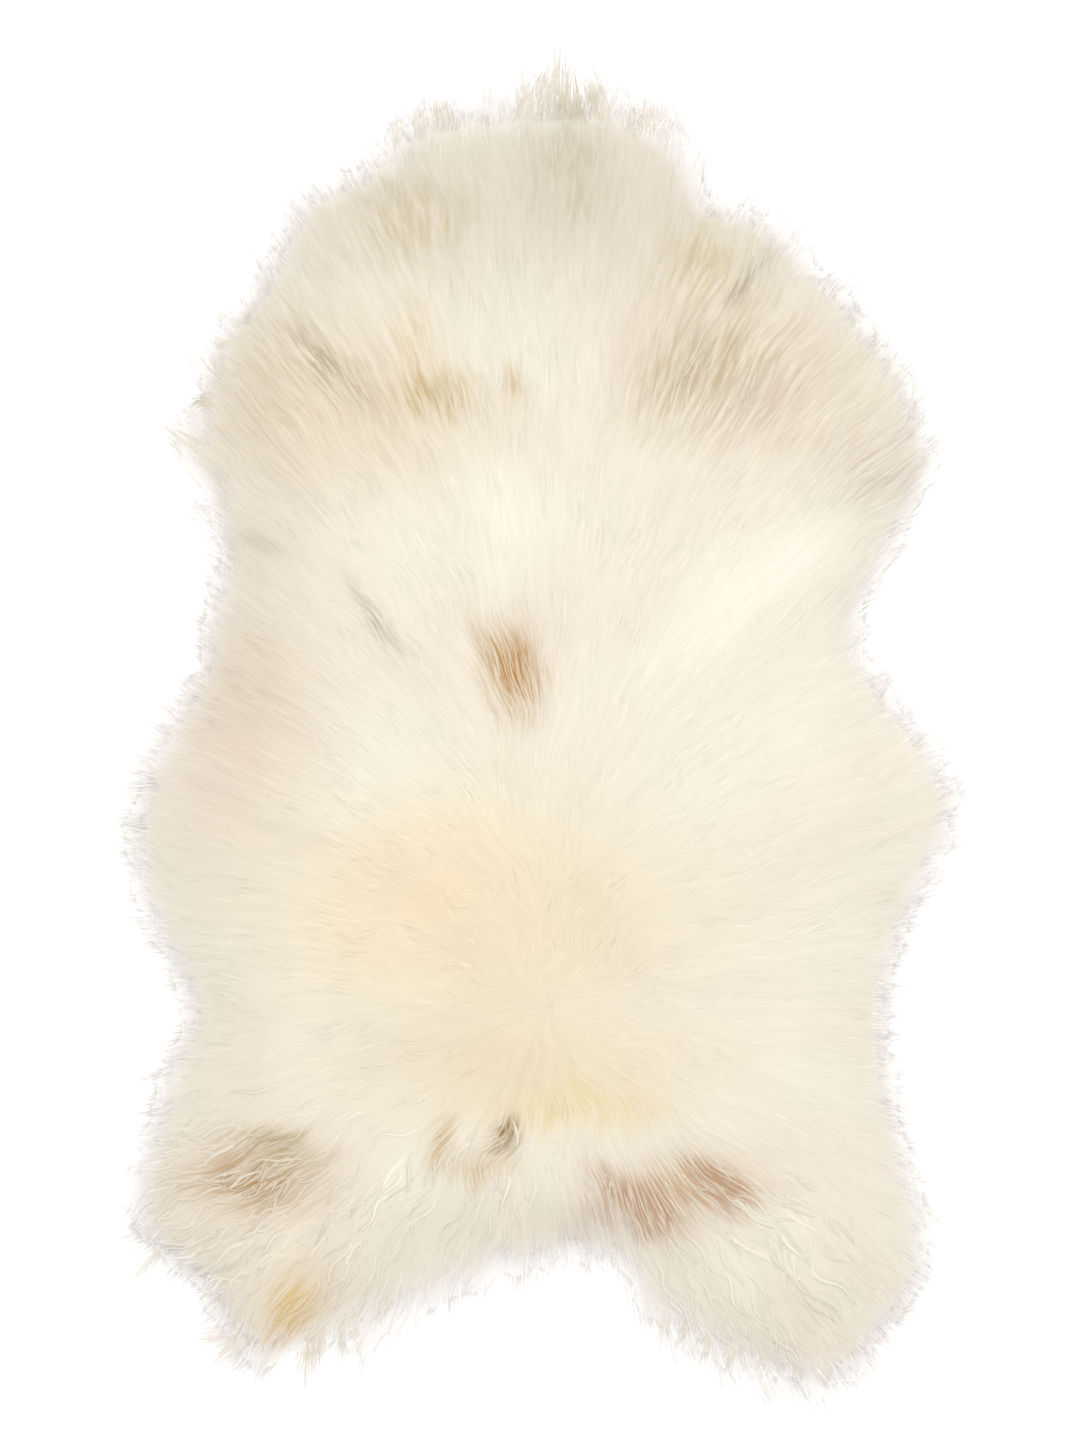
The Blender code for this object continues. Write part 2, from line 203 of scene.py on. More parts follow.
# Loose locks that stand out past the rim: the middle of the root, the tip, and how wide the
# lock is at its root
Loose = namedtuple("Loose", "across along tip_across tip_along wide")
LOOSE_LOCKS = {
    "crown": Loose(13, 480, 15, 572, 22),
    "crown, wide middle": Loose(13, 474, 15, 545, 90),
    "crown, wide right": Loose(85, 470, 86, 524, 44),
    "crown, wide left": Loose(-80, 468, -84, 517, 36),
    "crown, left of the middle": Loose(-15, 480, -17, 541, 12),
    "crown, right of the middle": Loose(50, 482, 36, 547, 14),
    "crown, far right": Loose(108, 470, 102, 519, 14),
    "crown, right": Loose(90, 478, 92, 523, 10),
    "crown, right tuft": Loose(70, 478, 66, 522, 10),
    "crown, far left": Loose(-108, 468, -120, 508, 12),
    "crown, left": Loose(-96, 478, -100, 522, 10),
    "crown, left tuft": Loose(-70, 474, -77, 511, 14),
    "left shoulder": Loose(-254, 212, -308, 255, 22),
    "left cheek": Loose(-246, 266, -289, 271, 18),
    "left jaw": Loose(-240, 310, -268, 319, 14),
    "left leg, outer": Loose(-300, -402, -330, -438, 6),
    "left leg, corner": Loose(-232, -470, -266, -501, 22),
    "left leg, side": Loose(-248, -468, -284, -482, 14),
    "left leg, long": Loose(-176, -456, -190, -527, 9),
    "left leg, long by its side": Loose(-170, -456, -184, -516, 7),
    "left leg, inner": Loose(-153, -440, -161, -505, 8),
    "left leg, inner by its side": Loose(-146, -440, -144, -505, 6),
    "left leg, notch": Loose(-125, -432, -130, -471, 12),
    "right leg, notch": Loose(94, -440, 94, -494, 9),
    "right leg, inner": Loose(112, -440, 107, -500, 9),
    "right leg, next": Loose(128, -450, 125, -505, 9),
    "right leg, middle": Loose(150, -462, 147, -511, 10),
    "right leg, low": Loose(173, -474, 175, -516, 10),
    "right leg, lower": Loose(200, -480, 205, -522, 12),
    "right leg, lowest": Loose(224, -480, 227, -527, 14),
    "right leg, outer": Loose(272, -456, 302, -454, 12),
}


# ---------------------------------------------------------------- settings


def hex_colour(text):
    """The linear colour of an sRGB hex value."""
    shares = np.array([int(text[i : i + 2], 16) for i in (0, 2, 4)]) / 255
    low, high = shares / 12.92, ((shares + 0.055) / 1.055) ** 2.4
    return tuple(float(v) for v in np.where(shares <= 0.04045, low, high))


def colour_property(name, description, text):
    return FloatVectorProperty(
        name=name,
        description=description,
        subtype="COLOR",
        min=0,
        max=1,
        default=hex_colour(text),
    )


def length_property(name, description, millimetres):
    return FloatProperty(
        name=name,
        description=description,
        subtype="DISTANCE",
        unit="LENGTH",
        min=0,
        default=millimetres * MM,
    )


class WoolSettings(bpy.types.PropertyGroup):
    """Sizes of the locks and hairs"""

    lock_spacing: length_property("Lock spacing", "Distance between the roots of two locks", 9)
    lock_width: length_property("Lock width", "Width of a lock at its widest", 2.2)
    lock_depth: length_property("Lock depth", "Thickness of a lock at its widest", 0.35)
    hair_spacing: length_property("Hair spacing", "Distance between the roots of two hairs", 7.0)
    hair_width: length_property("Hair width", "Width of a fine hair", 0.9)
    hair_depth: length_property("Hair depth", "Thickness of a fine hair", 0.2)
    wisp_spacing: length_property("Wisp spacing", "Distance between the rim's roots", 4.8)
    wisp_width: length_property("Wisp width", "Width of a wisp at the rim", 0.5)
    fringe_spacing: length_property("Fringe spacing", "Distance between the fringe's roots", 8)
    fringe_width: length_property("Fringe width", "Width of a lock in the fringe", 1.2)
    fringe_depth: length_property("Fringe depth", "Thickness of a lock in the fringe", 0.14)
    curl_spacing: length_property("Curl spacing", "Distance between the roots of two curls", 13)
    curl_width: length_property("Curl width", "Width of a wavy lock on the legs", 4.0)
    curl_depth: length_property("Curl depth", "Thickness of a wavy lock on the legs", 1.1)
    wave_length: length_property("Wave length", "Length of one wave in a lock", 38)
    wisp_depth: length_property("Wisp depth", "Thickness of a wisp at the rim", 0.07)
    tuft_spacing: length_property("Tuft spacing", "Distance between the middles of two tufts", 17)
    length: length_property("Wool length", "Length of the wool on the flanks", 62)
    root_depth: length_property("Root depth", "How deep a strand's root is buried", 2.5)
    roughness: length_property("Roughness", "How far tufts lie above or under the deep wool", 0.06)
    pull: FloatProperty(
        name="Pull",
        description="How far the tips of a tuft draw together",
        min=0,
        max=1,
        default=0.5,
    )


class ColourSettings(bpy.types.PropertyGroup):
    """Colours of wool and leather"""

    cream: colour_property("Cream", "Clean wool, over most of the rug", "E8E3D2")
    pink_beige: colour_property("Pinkish beige", "Wool of the thinner places", "E4DAC9")
    # Painted shade: the darker pinkish grey of the fur along the rim, where it lies in shadow
    rim: colour_property("Rim", "Wool towards the rim", "E2DBD3")
    wisps: colour_property("Wisps", "Loose wisps past the rim", "FCFAF8")
    leather: colour_property("Leather", "The tanned flesh side", "D9C3A0")
    leather_dark: colour_property("Leather marks", "Darker parts of the leather", "BFA07A")
    floor: colour_property("Floor", "The plain floor", "FDFCFB")


class StageSettings(bpy.types.PropertyGroup):
    """Camera and lights"""

    camera_height: FloatProperty(
        name="Camera height",
        description="Height of the camera above the floor",
        subtype="DISTANCE",
        unit="LENGTH",
        default=5.0,
    )
    frame_height: FloatProperty(
        name="Frame height",
        description="Length of the floor that the picture takes in",
        subtype="DISTANCE",
        unit="LENGTH",
        default=1.152,
    )
    ambient: FloatProperty(
        name="Ambient",
        description="Strength of the even white light",
        default=0.82,
    )
    softbox_power: FloatProperty(
        name="Softbox",
        description="Power of the large soft light over the neck",
        subtype="POWER",
        unit="POWER",
        default=30,
    )


# ---------------------------------------------------------------- maps read from the solids

MAP_STEP = 4 * MM  # between the points of a map
MAP_MARGIN = 60 * MM  # how far the maps go past the solids
REACH_BLUR = 11 * MM  # for how much of a place the fleece's solid fills
TOP_BLUR = 16 * MM  # for the height of the wool
SWAY_SIZE = 15 * MM  # size of the waves in the wool's lie
SWAY = 1.8 * MM  # how far they sway to each side
TUFT_RELIEF = 0.3 * MM  # how high the ridges of the deep wool are
RELIEF_FULL = 20 * MM  # the ridges have their full height where the wool is this deep
MAT_EDGE = 0.27  # the deep wool ends where the fleece's solid fills this share
MAT_RAGGED = 0.07  # how ragged its border is, as a share of the same fill
MAT_FALL = 0.6  # over this much more of it, the wool rises to its full height
MAT_CURVE = 1.5  # how hollow its slope is there
THINNEST = 0.3 * MM  # height of the deep wool along its edge
OUTER_LIE = 0.05 * MM  # height of the strands' lie past the deep wool
HIDE_GAP = 0.3 * MM  # between the hide and the wool on it
HIDE_EDGE = 0.02  # the hide's map is above this wherever there is hide underneath
FLOOR_CLEARANCE = 0.02 * MM  # between the floor and the lowest wool
BORDER_SMOOTHING = 3  # rounds of smoothing along the deep wool's border
EDGE_ANGLE = math.radians(50)  # the deep wool is shaded as one where it bends less than this
FOOT_JOINED = 0.7  # inside this share, the level faces under the deep wool are joined
RIM_BLUR = 6 * MM  # for where the strands end
CURL_SIZE = 7 * MM  # size of the curls in the whorl
CURL = 3 * MM  # how far they bend the wool's lie
FLOW_START = 15 * MM  # a ring round the whorl, from which the wool's lie is followed
FLOW_STEP = 8 * MM
FLOW_SLOWING = 0.2  # the steps get shorter within this share of the way that is left
FLOW_BENT = 1.5  # the longest way, beside a straight one
FLOW_LAST_STEPS = 20  # short steps up to the ring
SPREAD_LIMITS = (8 * MM, 3)  # the least and most width of the rug to each radian

# Grain in the wool, drawn out along its lie: seed, width and length
FINE_RIDGES = (2, 6 * MM, 60 * MM)
BROAD_RIDGES = (3, 12 * MM, 90 * MM)
BORDER_GRAIN = (8, 5 * MM, 40 * MM)
TINT_GRAIN = (4, 14 * MM, 60 * MM)
MARK_GRAIN = (6, 4 * MM, 60 * MM)

# Soft noise in the wool: seed and size
SWAY_NOISE = (1, SWAY_SIZE)
CURL_NOISE = (9, CURL_SIZE)
TINT_NOISE = (5, 45 * MM)


def blurred(field, radius):
    """The field after a Gaussian blur."""
    half = math.ceil(3 * radius / MAP_STEP)
    weights = np.exp(-0.5 * (np.arange(-half, half + 1) * MAP_STEP / radius) ** 2)
    weights /= weights.sum()
    for axis in (0, 1):
        field = np.apply_along_axis(np.convolve, axis, field, weights, mode="same")
    return field


def unit(vectors):
    """Each vector, scaled to a length of one."""
    return vectors / np.maximum(np.linalg.norm(vectors, axis=-1, keepdims=True), 1e-9)


class Maps:
    """Values at each place: what the solids say there, and how the wool lies there."""

    def __init__(self):
        low, high = (np.array(corner[:2]) for corner in CAD_BOX)
        self.low = low - MAP_MARGIN
        self.count = np.ceil((high + MAP_MARGIN - self.low) / MAP_STEP).astype(int) + 1
        columns, rows = (np.arange(count) * MAP_STEP for count in self.count)
        self.places = np.stack(np.meshgrid(columns, rows), axis=-1) + self.low
        fleece = self.heights_of(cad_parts["fleece"])
        hide = self.heights_of(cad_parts["hide"])
        self.reach = blurred((fleece > 0).astype(float), REACH_BLUR)
        self.rim = blurred((fleece > 0).astype(float), RIM_BLUR)
        self.hide = blurred((hide > 0).astype(float), MAP_STEP)
        self.add_sway()
        self.add_top(blurred(fleece, TOP_BLUR))
        self.tint = self.grain(*TINT_GRAIN) * 0.5 + self.soft_noise(*TINT_NOISE) * 0.7
        self.ragged = self.grain(*MARK_GRAIN)
        self.add_flow()

    def add_top(self, fleece):
        """is_mat says where the deep wool grows, and top is its height. lie is the height on
        which the strands lie, also past the deep wool, and soft_top is the same, blurred."""
        relief = self.grain(*FINE_RIDGES) + self.grain(*BROAD_RIDGES) * 2
        ragged = self.grain(*BORDER_GRAIN) * MAT_RAGGED
        edge = self.reach + ragged * np.clip(3 * (1 - self.reach), 0, 1)
        self.is_mat = edge > MAT_EDGE
        fall = np.clip((edge - MAT_EDGE) / MAT_FALL, 0, 1) ** MAT_CURVE
        on_hide = np.clip(2 * self.hide, 0, 1)
        least = THINNEST * (0.3 + fall) + (HIDE_TOP + HIDE_GAP) * on_hide
        lumpy = np.maximum(fleece - least, 0)
        lumpy = lumpy + relief * TUFT_RELIEF * np.clip(lumpy / RELIEF_FULL, 0, 1)
        self.top = np.where(self.is_mat, least + lumpy * fall, 0)
        self.lie = np.where(self.is_mat, self.top, np.minimum(fleece, OUTER_LIE))
        self.soft_top = blurred(self.lie, TOP_BLUR)

    def heights_of(self, node):
        """The height of a node's upper surface at each place, and 0 past the node."""
        verts = [vert.co for vert in node.data.vertices]
        faces = [tuple(face.vertices) for face in node.data.polygons]
        tree = BVHTree.FromPolygons(verts, faces)
        heights = np.zeros(self.places.shape[:2])
        for row, line in enumerate(self.places):
            for column, (x, y) in enumerate(line):
                hit = tree.ray_cast(Vector((x, y, 1)), Vector((0, 0, -1)))[0]
                if hit is not None:
                    heights[row, column] = hit.z
        return heights

    def soft_noise(self, seed, size):
        """Soft noise with features of this size, that spreads about 1 to each side of 0."""
        field = np.random.default_rng(seed).normal(0, 1, self.places.shape[:2])
        field = blurred(field, size)
        return field / field.std()

    def grain(self, seed, width, length):
        """Soft noise drawn out along the wool's lie."""
        field = self.soft_noise(seed, width)
        steps = round(length / 2 / MAP_STEP)
        total = field.copy()
        for way in (1, -1):
            at = self.places
            for _ in range(steps):
                at = at + wool_direction(at, self) * (MAP_STEP * way)
                total += self.at(field, at)
        return total / total.std()

    def add_sway(self):
        """sway is how far the wool sways to the left of a straight lie, and lean is the angle
        to the straight lie that this gives it."""
        wavier = 1 + sum_of_growths(self.places, "wavier")
        self.sway = self.soft_noise(*SWAY_NOISE) * SWAY * wavier
        self.sway += self.soft_noise(*CURL_NOISE) * CURL * curliness(self.places)
        ahead = straight_direction(self.places) * MAP_STEP
        rise = self.at(self.sway, self.places + ahead) - self.at(self.sway, self.places - ahead)
        self.lean = np.arctan(rise / (2 * MAP_STEP))

    def add_flow(self):
        """Follows the wool's lie back to a ring round the whorl from each place. flow says where
        on the ring that ends, and how far it is. spread is the rug's width to each radian."""
        ahead = straight_direction(self.places)
        left = np.stack([-ahead[..., 1], ahead[..., 0]], axis=-1)
        at = self.places - left * self.sway[..., None]
        far = np.zeros(at.shape[:2])
        longest = np.linalg.norm(at - WHORL, axis=-1).max() * FLOW_BENT
        for _ in range(int(longest / FLOW_STEP) + FLOW_LAST_STEPS):
            to_go = np.linalg.norm(at - WHORL, axis=-1) - FLOW_START
            step = np.clip(FLOW_SLOWING * to_go, 0, FLOW_STEP)[..., None]
            halfway = at - straight_direction(at) * step / 2
            at = at - straight_direction(halfway) * step
            far += step[..., 0]
        start = unit(at - WHORL)
        slopes = np.gradient(start, MAP_STEP, axis=(0, 1))
        turning = np.sqrt(sum((slope**2).sum(axis=-1) for slope in slopes))
        spread = np.log(np.clip(1 / np.maximum(turning, 1e-3), *SPREAD_LIMITS))
        self.spread = np.exp(blurred(spread, 4 * MAP_STEP))
        self.flow = [start[..., 0], start[..., 1], far]

    def normals(self, places):
        """The unit normals of the wool's top."""
        rises = [
            (self.at(self.soft_top, places + way) - self.at(self.soft_top, places - way))
            / (2 * MAP_STEP)
            for way in np.eye(2) * MAP_STEP
        ]
        return unit(np.stack([-rises[0], -rises[1], np.ones(rises[0].shape)], axis=-1))

    def at(self, field, places):
        """A field's value at each of the places, between its own points."""
        spot = (places - self.low) / MAP_STEP
        spot = np.clip(spot, 0, np.array(self.count) - 1.001)
        column, row = spot[..., 0].astype(int), spot[..., 1].astype(int)
        right, above = spot[..., 0] - column, spot[..., 1] - row
        lower = field[row, column] * (1 - right) + field[row, column + 1] * right
        upper = field[row + 1, column] * (1 - right) + field[row + 1, column + 1] * right
        return lower * (1 - above) + upper * above


# ---------------------------------------------------------------- how the wool lies


def straight_direction(places):
    """The unit direction outwards from the whorl at each place, without the wool's waves."""
    away = places - WHORL
    above = 1 / (1 + np.exp(-np.clip(away[..., 1] / SPREAD_BLEND, -30, 30)))
    across = away[..., 0] * (SPREAD_BELOW + (SPREAD_ABOVE - SPREAD_BELOW) * above)
    return unit(np.stack([across, away[..., 1]], axis=-1))


def wool_direction(places, maps):
    """The unit direction in which the wool lies at each place."""
    return turned(straight_direction(places), maps.at(maps.lean, places))


def turned(ways, angles):
    """Unit directions, each turned left by its angle."""
    c, s = np.cos(angles), np.sin(angles)
    x, y = ways[..., 0], ways[..., 1]
    return np.stack([x * c - y * s, x * s + y * c], axis=-1)


def bump(places, spot, radius):
    """1 at the spot, falling to 0 past the radius."""
    return np.exp(-((np.linalg.norm(places - spot, axis=-1) / radius) ** 2))


def sum_of_growths(places, what):
    """The sum of what the growths near each place add to the wool there."""
    total = 0
    for growth in GROWTHS.values():
        spot = place(growth.across, growth.along)
        total = total + getattr(growth, what) * bump(places, spot, growth.radius * MM)
    return total


def curliness(places):
    """0 over most of the rug, and up to 1 in the whorl."""
    return bump(places, WHORL + np.array([0, 25 * MM]), WHORL_RADIUS)


def mixed_colour(first, second, share):
    """The first colour, mixed with this share of the second."""
    return first * (1 - share[..., None]) + np.array(second) * share[..., None]


def mark_share(mark, places, along_strand):
    """How strongly a mark colours each of the places, at a share of a strand's length."""
    away = places - place(mark.across, mark.along)
    c, s = math.cos(math.radians(mark.lean)), math.sin(math.radians(mark.lean))
    along = (away[..., 0] * c + away[..., 1] * s) / (mark.long * MM)
    wide = (away[..., 1] * c - away[..., 0] * s) / (mark.wide * MM)
    strength = mark.strength * (1 - (1 - mark.tips) * along_strand)
    return strength * np.exp(-MARK_FALL * (along**2 + wide**2) ** MARK_ROUND)


def plain_colour(places, settings, tone, fading):
    """The wool's colour without the smaller marks. tone is a strand's own shade, and fading is
    how much paler the wool gets towards its rim."""
    pink = PINK_ALL + PINK_PLACE * maps.at(maps.tint, places) + PINK_STRAND * tone
    pink = np.clip(pink, 0, 1)
    colour = mixed_colour(np.array(settings.cream), settings.pink_beige, pink)
    # The broad marks, among them painted highlights and painted shade
    for shade in SHADES.values():
        share = mark_share(shade, places, 0)
        colour = mixed_colour(colour, hex_colour(shade.colour), share)
    # Painted shade towards the rim: its darker pinkish grey, where the fur lies in shadow
    reach = maps.at(maps.reach, places)
    edge = np.clip((1 - reach) / RIM_SHADE_INSIDE, 0, 1) * RIM_SHADE_SHARE
    colour = mixed_colour(colour, settings.rim, edge)
    colour = mixed_colour(colour, settings.wisps, paleness(places) * fading)
    return colour * (1 + TONE * np.asarray(tone)[..., None])


def paleness(places):
    """How far the wool has thinned out: 0 over the dense wool, and 1 at the rim, where the
    white floor shows between its single fibres."""
    start, end = RIM_FADE
    return np.clip((start - maps.at(maps.reach, places)) / (start - end), 0, 1)


def sum_of_marks(places, tone, along_strand):
    """The mixed colour of all marks at each place, and how strongly they colour the wool
    there. along_strand is 0 at a strand's root and 1 at its tip."""
    shift = maps.at(maps.ragged, places)[..., None] * MARK_EDGE
    ragged = places + wool_direction(places, maps) * shift
    own = np.clip(1 + MARK_TONE * tone, 0, 2)
    total = np.zeros(places.shape[:-1] + (3,))
    clear = np.ones(places.shape[:-1])
    for mark in MARKS.values():
        share = np.clip(mark_share(mark, ragged, along_strand) * own, 0, 1)
        total = mixed_colour(total, hex_colour(mark.colour), share)
        clear = clear * (1 - share)
    marks = total / np.maximum(1 - clear, 1e-4)[..., None]
    return marks, (1 - clear) * (1 - paleness(places) ** 2)


def wool_colour(places, settings, tone, along_strand, fading):
    """The colour of a strand's wool at each place, with its marks."""
    marks, share = sum_of_marks(places, tone, along_strand)
    plain = plain_colour(places, settings, tone, fading) * STRAND_SHINE
    return plain * (1 - share[..., None]) + marks * share[..., None]


maps = Maps()


# ---------------------------------------------------------------- strands

REACH_CUTS = (0.1, 0.97)  # a tuft ends where the fleece's solid fills a share between these
SHORTEST = 14 * MM  # length of the shortest strands
LOWEST = FLOOR_CLEARANCE + 0.03 * MM  # of a strand's middle line
COMB_STEPS = 12  # in which a strand's whole length is followed before it is cut
LENGTH_SPREAD = (0.75, 1.15)  # lengths of single strands beside their tuft's
SIZE_SPREAD = (0.7, 1.25)  # widths and thicknesses of single strands beside their kind's
WAVE_SPREAD = (0.5, 1.3)  # waves of single strands beside their kind's
ROLL = 0.35  # how far a strand is turned about its own line, in radians
ROOT_WIDTH = 0.55  # a strand's width at its root, beside its widest
SWELL = 1.6  # how fast it gets wider from there
TAPER = (2.4, 0.8)  # how full it stays towards its tip, and how round the tip is
TUFT_TURN = 0.1  # how far one tuft turns from the wool's lie, in radians
TUFT_CURL = 3  # how much more of this there is in the whorl
TUFT_LENGTHS = (0.85, 1.15)
TUFT_REACH = (0.4, 1.1)  # tufts grow where the fleece's solid fills a share between these
TUFT_SEED = 5
CURLY = 0.3  # curls grow where the growths add up to more than this
STRAND_SHINE = 1.03  # how much lighter a single strand looks than the deep wool
LOOSE_SCATTER = 2 * MM  # how far the tips in a loose lock part
LOOSE_LEAST = 5  # strands in any loose lock
LOOSE_STRANDS = 2.2  # more of them, for each millimetre of its width
LOOSE_WIDTH = 1.4  # width of these strands beside those of the fringe
LOOSE_DEPTH = 0.35 * MM  # their thickness, enough to bend down the slope at the rim
LOOSE_SEED = 16
LOOSE_FADING = 0.52  # how much paler they get past the rim
LOOSE_ROOTED = 0.6  # how far they keep their roots' colour
LOOSE_ROOTS = 0.3  # how far back their roots are spread, as a share of the lock's length
LOOSE_SHORTER = 0.5  # how much shorter some strands are than the lock
LOOSE_POINTED = 1.2  # how much shorter the lock is at its sides
LOOSE_CLOSING = 0.6  # the lock's width at its tip beside its width at the root
LOOSE_BEND = 0.4  # how far out the strands keep to the wool's lie
ROUNDNESS = 0.12  # how far a strand is shaded as round by itself, and not as part of the wool

Kind = namedtuple(
    "Kind",
    "spacing width depth spans length stray wave lift loose reach cut fading rooted seed",
)


def strand_kinds(settings):
    """The kinds of strands. spacing is the distance between roots, and spans are the parts of
    a strand's length. length is a share of the wool's length, stray is how far the direction
    differs from the tuft's, and wave is how far a strand bends to each side. lift is how far
    the tip lies above the deep wool, and loose is how much that differs. reach is where the
    root may be, as a share of the fleece's fill. cut is how much further in or out a strand
    ends than its tuft does, and fading is how much paler it gets past the rim. rooted is how
    far it keeps its root's colour."""
    locks = (settings.lock_spacing, settings.lock_width, settings.lock_depth)
    hairs = (settings.hair_spacing, settings.hair_width, settings.hair_depth)
    wisps = (settings.wisp_spacing, settings.wisp_width, settings.wisp_depth)
    curls = (settings.curl_spacing, settings.curl_width, settings.curl_depth)
    fringe = (settings.fringe_spacing, settings.fringe_width, settings.fringe_depth)
    inside, edge, middle = (0.7, 1.1), (0.45, 0.97), (0.9, 1.1)
    return {
        "locks": Kind(
            *locks, spans=6, length=1, stray=0.06, wave=0.6 * MM, lift=0.08 * MM,
            loose=0.06 * MM, reach=inside, cut=(0.8, 1.1), fading=1, rooted=0, seed=11,
        ),
        "hairs": Kind(
            *hairs, spans=6, length=1, stray=0.12, wave=0, lift=0.02 * MM,
            loose=0.06 * MM, reach=inside, cut=(0.7, 1.1), fading=1, rooted=0, seed=12,
        ),
        "wisps": Kind(
            *wisps, spans=5, length=0.65, stray=0.2, wave=0, lift=0.02 * MM,
            loose=0.02 * MM, reach=edge, cut=(0.02, 0.7), fading=0.7, rooted=0.2, seed=13,
        ),
        "fringe": Kind(
            *fringe, spans=8, length=1, stray=0.1, wave=1.0 * MM, lift=0.03 * MM,
            loose=0.03 * MM, reach=edge, cut=(0.05, 0.5), fading=0.6, rooted=0.4, seed=15,
        ),
        "curls": Kind(
            *curls, spans=12, length=1, stray=0.25, wave=3.0 * MM, lift=0.5 * MM,
            loose=0.2 * MM, reach=middle, cut=(0.8, 1.1), fading=1, rooted=0, seed=14,
        ),
    }


def strand_template(spans):
    """A three-sided cone cut into spans: its points around the axis, the number of spans
    before each, and its triangles."""
    shape = bmesh.new()
    bmesh.ops.create_cone(
        shape, cap_ends=True, segments=3, radius1=1, radius2=0, depth=1
    )
    bmesh.ops.translate(shape, verts=shape.verts, vec=Vector((0, 0, 0.5)))
    for number in range(1, spans):
        bmesh.ops.bisect_plane(
            shape,
            geom=shape.verts[:] + shape.edges[:] + shape.faces[:],
            plane_co=Vector((0, 0, number / spans)),
            plane_no=Vector((0, 0, 1)),
        )
    bmesh.ops.triangulate(shape, faces=shape.faces)
    bmesh.ops.recalc_face_normals(shape, faces=shape.faces)
    shape.verts.index_update()
    corners = np.array([tuple(vert.co) for vert in shape.verts])
    faces = np.array([[vert.index for vert in face.verts] for face in shape.faces])
    shape.free()
    ring = np.round(corners[:, 2] * spans).astype(int)
    around = corners[:, :2] / np.maximum(1 - corners[:, 2:], 1e-3)
    around[ring == spans] = 0
    return around, ring, faces


def combed(roots, lengths, turn, spans):
    """Lines on the floor that follow the wool's direction from each root."""
    at, lines = roots, [roots]
    for _ in range(spans):
        way = turned(wool_direction(at, maps), turn)
        at = at + way * (lengths / spans)[:, None]
        lines.append(at)
    return np.stack(lines, axis=1)


def cut_to_reach(lengths, lines, cuts):
    """Lengths shortened so that each strand ends where the fleece's solid ends."""
    inside = maps.at(maps.rim, lines) >= cuts[:, None]
    inside[:, 0] = True
    spans = lines.shape[1] - 1
    whole = np.cumprod(inside, axis=1).sum(axis=1) - 1
    return lengths * np.clip((whole + 0.5) / spans, 0, 1)


def laid_on_wool(lines, lifts, root_depth):
    """The strands' lines in space: rooted deep, rising to the wool's top and lying on it."""
    share = np.linspace(0, 1, lines.shape[1])
    height = maps.at(maps.lie, lines)
    height = height + lifts[:, None] * share**0.5 - root_depth * (1 - share) ** 3
    height = np.maximum(height, LOWEST)
    return np.concatenate([lines, height[..., None]], axis=2)


def swept(paths, widths, depths, rolls, template):
    """The points of all strands and their normals: the template carried along the paths."""
    around, ring, _ = template
    ahead = unit(np.gradient(paths, axis=1))
    side = unit(np.cross(np.broadcast_to(UP, ahead.shape), ahead))[:, ring]
    over = np.cross(ahead[:, ring], side)
    share = ring / (paths.shape[1] - 1)
    full, tip = TAPER
    swell = np.clip(ROOT_WIDTH + SWELL * share, 0, 1) * (1 - share**full) ** tip
    c, s = np.cos(rolls)[:, None], np.sin(rolls)[:, None]
    across = (around[:, 0] * c - around[:, 1] * s)[..., None]
    above = (around[:, 0] * s + around[:, 1] * c)[..., None]
    points = paths[:, ring]
    points = points + side * across * (widths[:, None] / 2 * swell)[..., None]
    points = points + over * above * (depths[:, None] / 2 * swell)[..., None]
    points[..., 2] = np.maximum(points[..., 2], FLOOR_CLEARANCE)
    normals = maps.normals(points[..., :2]) + (side * across + over * above) * ROUNDNESS
    return points, unit(normals)


def linked(mesh):
    """The mesh's object, in the scene."""
    made = bpy.data.objects.new(mesh.name, mesh)
    bpy.context.scene.collection.objects.link(made)
    return made


def mesh_of(shape, name):
    """The mesh of a finished shape."""
    mesh = bpy.data.meshes.new(name)
    shape.to_mesh(mesh)
    shape.free()
    return mesh


def add_values(mesh, name, values):
    """Stores a number or a vector for each of the mesh's points."""
    kind, key = ("FLOAT", "value") if values.ndim == 1 else ("FLOAT_VECTOR", "vector")
    layer = mesh.attributes.new(name, kind, "POINT")
    layer.data.foreach_set(key, values.astype(np.float32).ravel())


def add_colours(mesh, name, colours):
    """Stores a colour for each of the mesh's points."""
    colours = np.concatenate([colours, np.ones((len(colours), 1))], axis=1)
    layer = mesh.color_attributes.new(name, "FLOAT_COLOR", "POINT")
    layer.data.foreach_set("color", colours.astype(np.float32).ravel())


def strand_mesh(name, points, normals, faces, colours):
    """One mesh of many strands, with each point's normal and colour. The normals are stored
    free of the faces, because strands this flat lose them otherwise."""
    strands, corners = points.shape[:2]
    all_faces = faces[None] + (np.arange(strands) * corners)[:, None, None]
    mesh = bpy.data.meshes.new(name)
    mesh.from_pydata(points.reshape(-1, 3), [], all_faces.reshape(-1, 3))
    mesh.shade_smooth()
    add_values(mesh, "custom_normal", normals.reshape(-1, 3))
    add_colours(mesh, "wool_colour", colours.reshape(-1, 3))
    return linked(mesh)


def root_places(spacing, seed, reach):
    """Roots spread evenly but not in rows, where the wool's reach is between two values."""
    chance = np.random.default_rng(seed)
    low, high = (np.array(corner[:2]) for corner in CAD_BOX)
    rows = np.arange(low[1], high[1], spacing * math.sqrt(0.75))
    columns = np.arange(low[0], high[0], spacing)
    x, y = np.meshgrid(columns, rows)
    x = x + spacing / 2 * (np.arange(len(rows)) % 2)[:, None]
    places = np.stack([x.ravel(), y.ravel()], axis=1)
    places = places + chance.uniform(-0.5, 0.5, places.shape) * spacing
    here = maps.at(maps.reach, places)
    return places[(here > reach[0]) & (here < reach[1])]


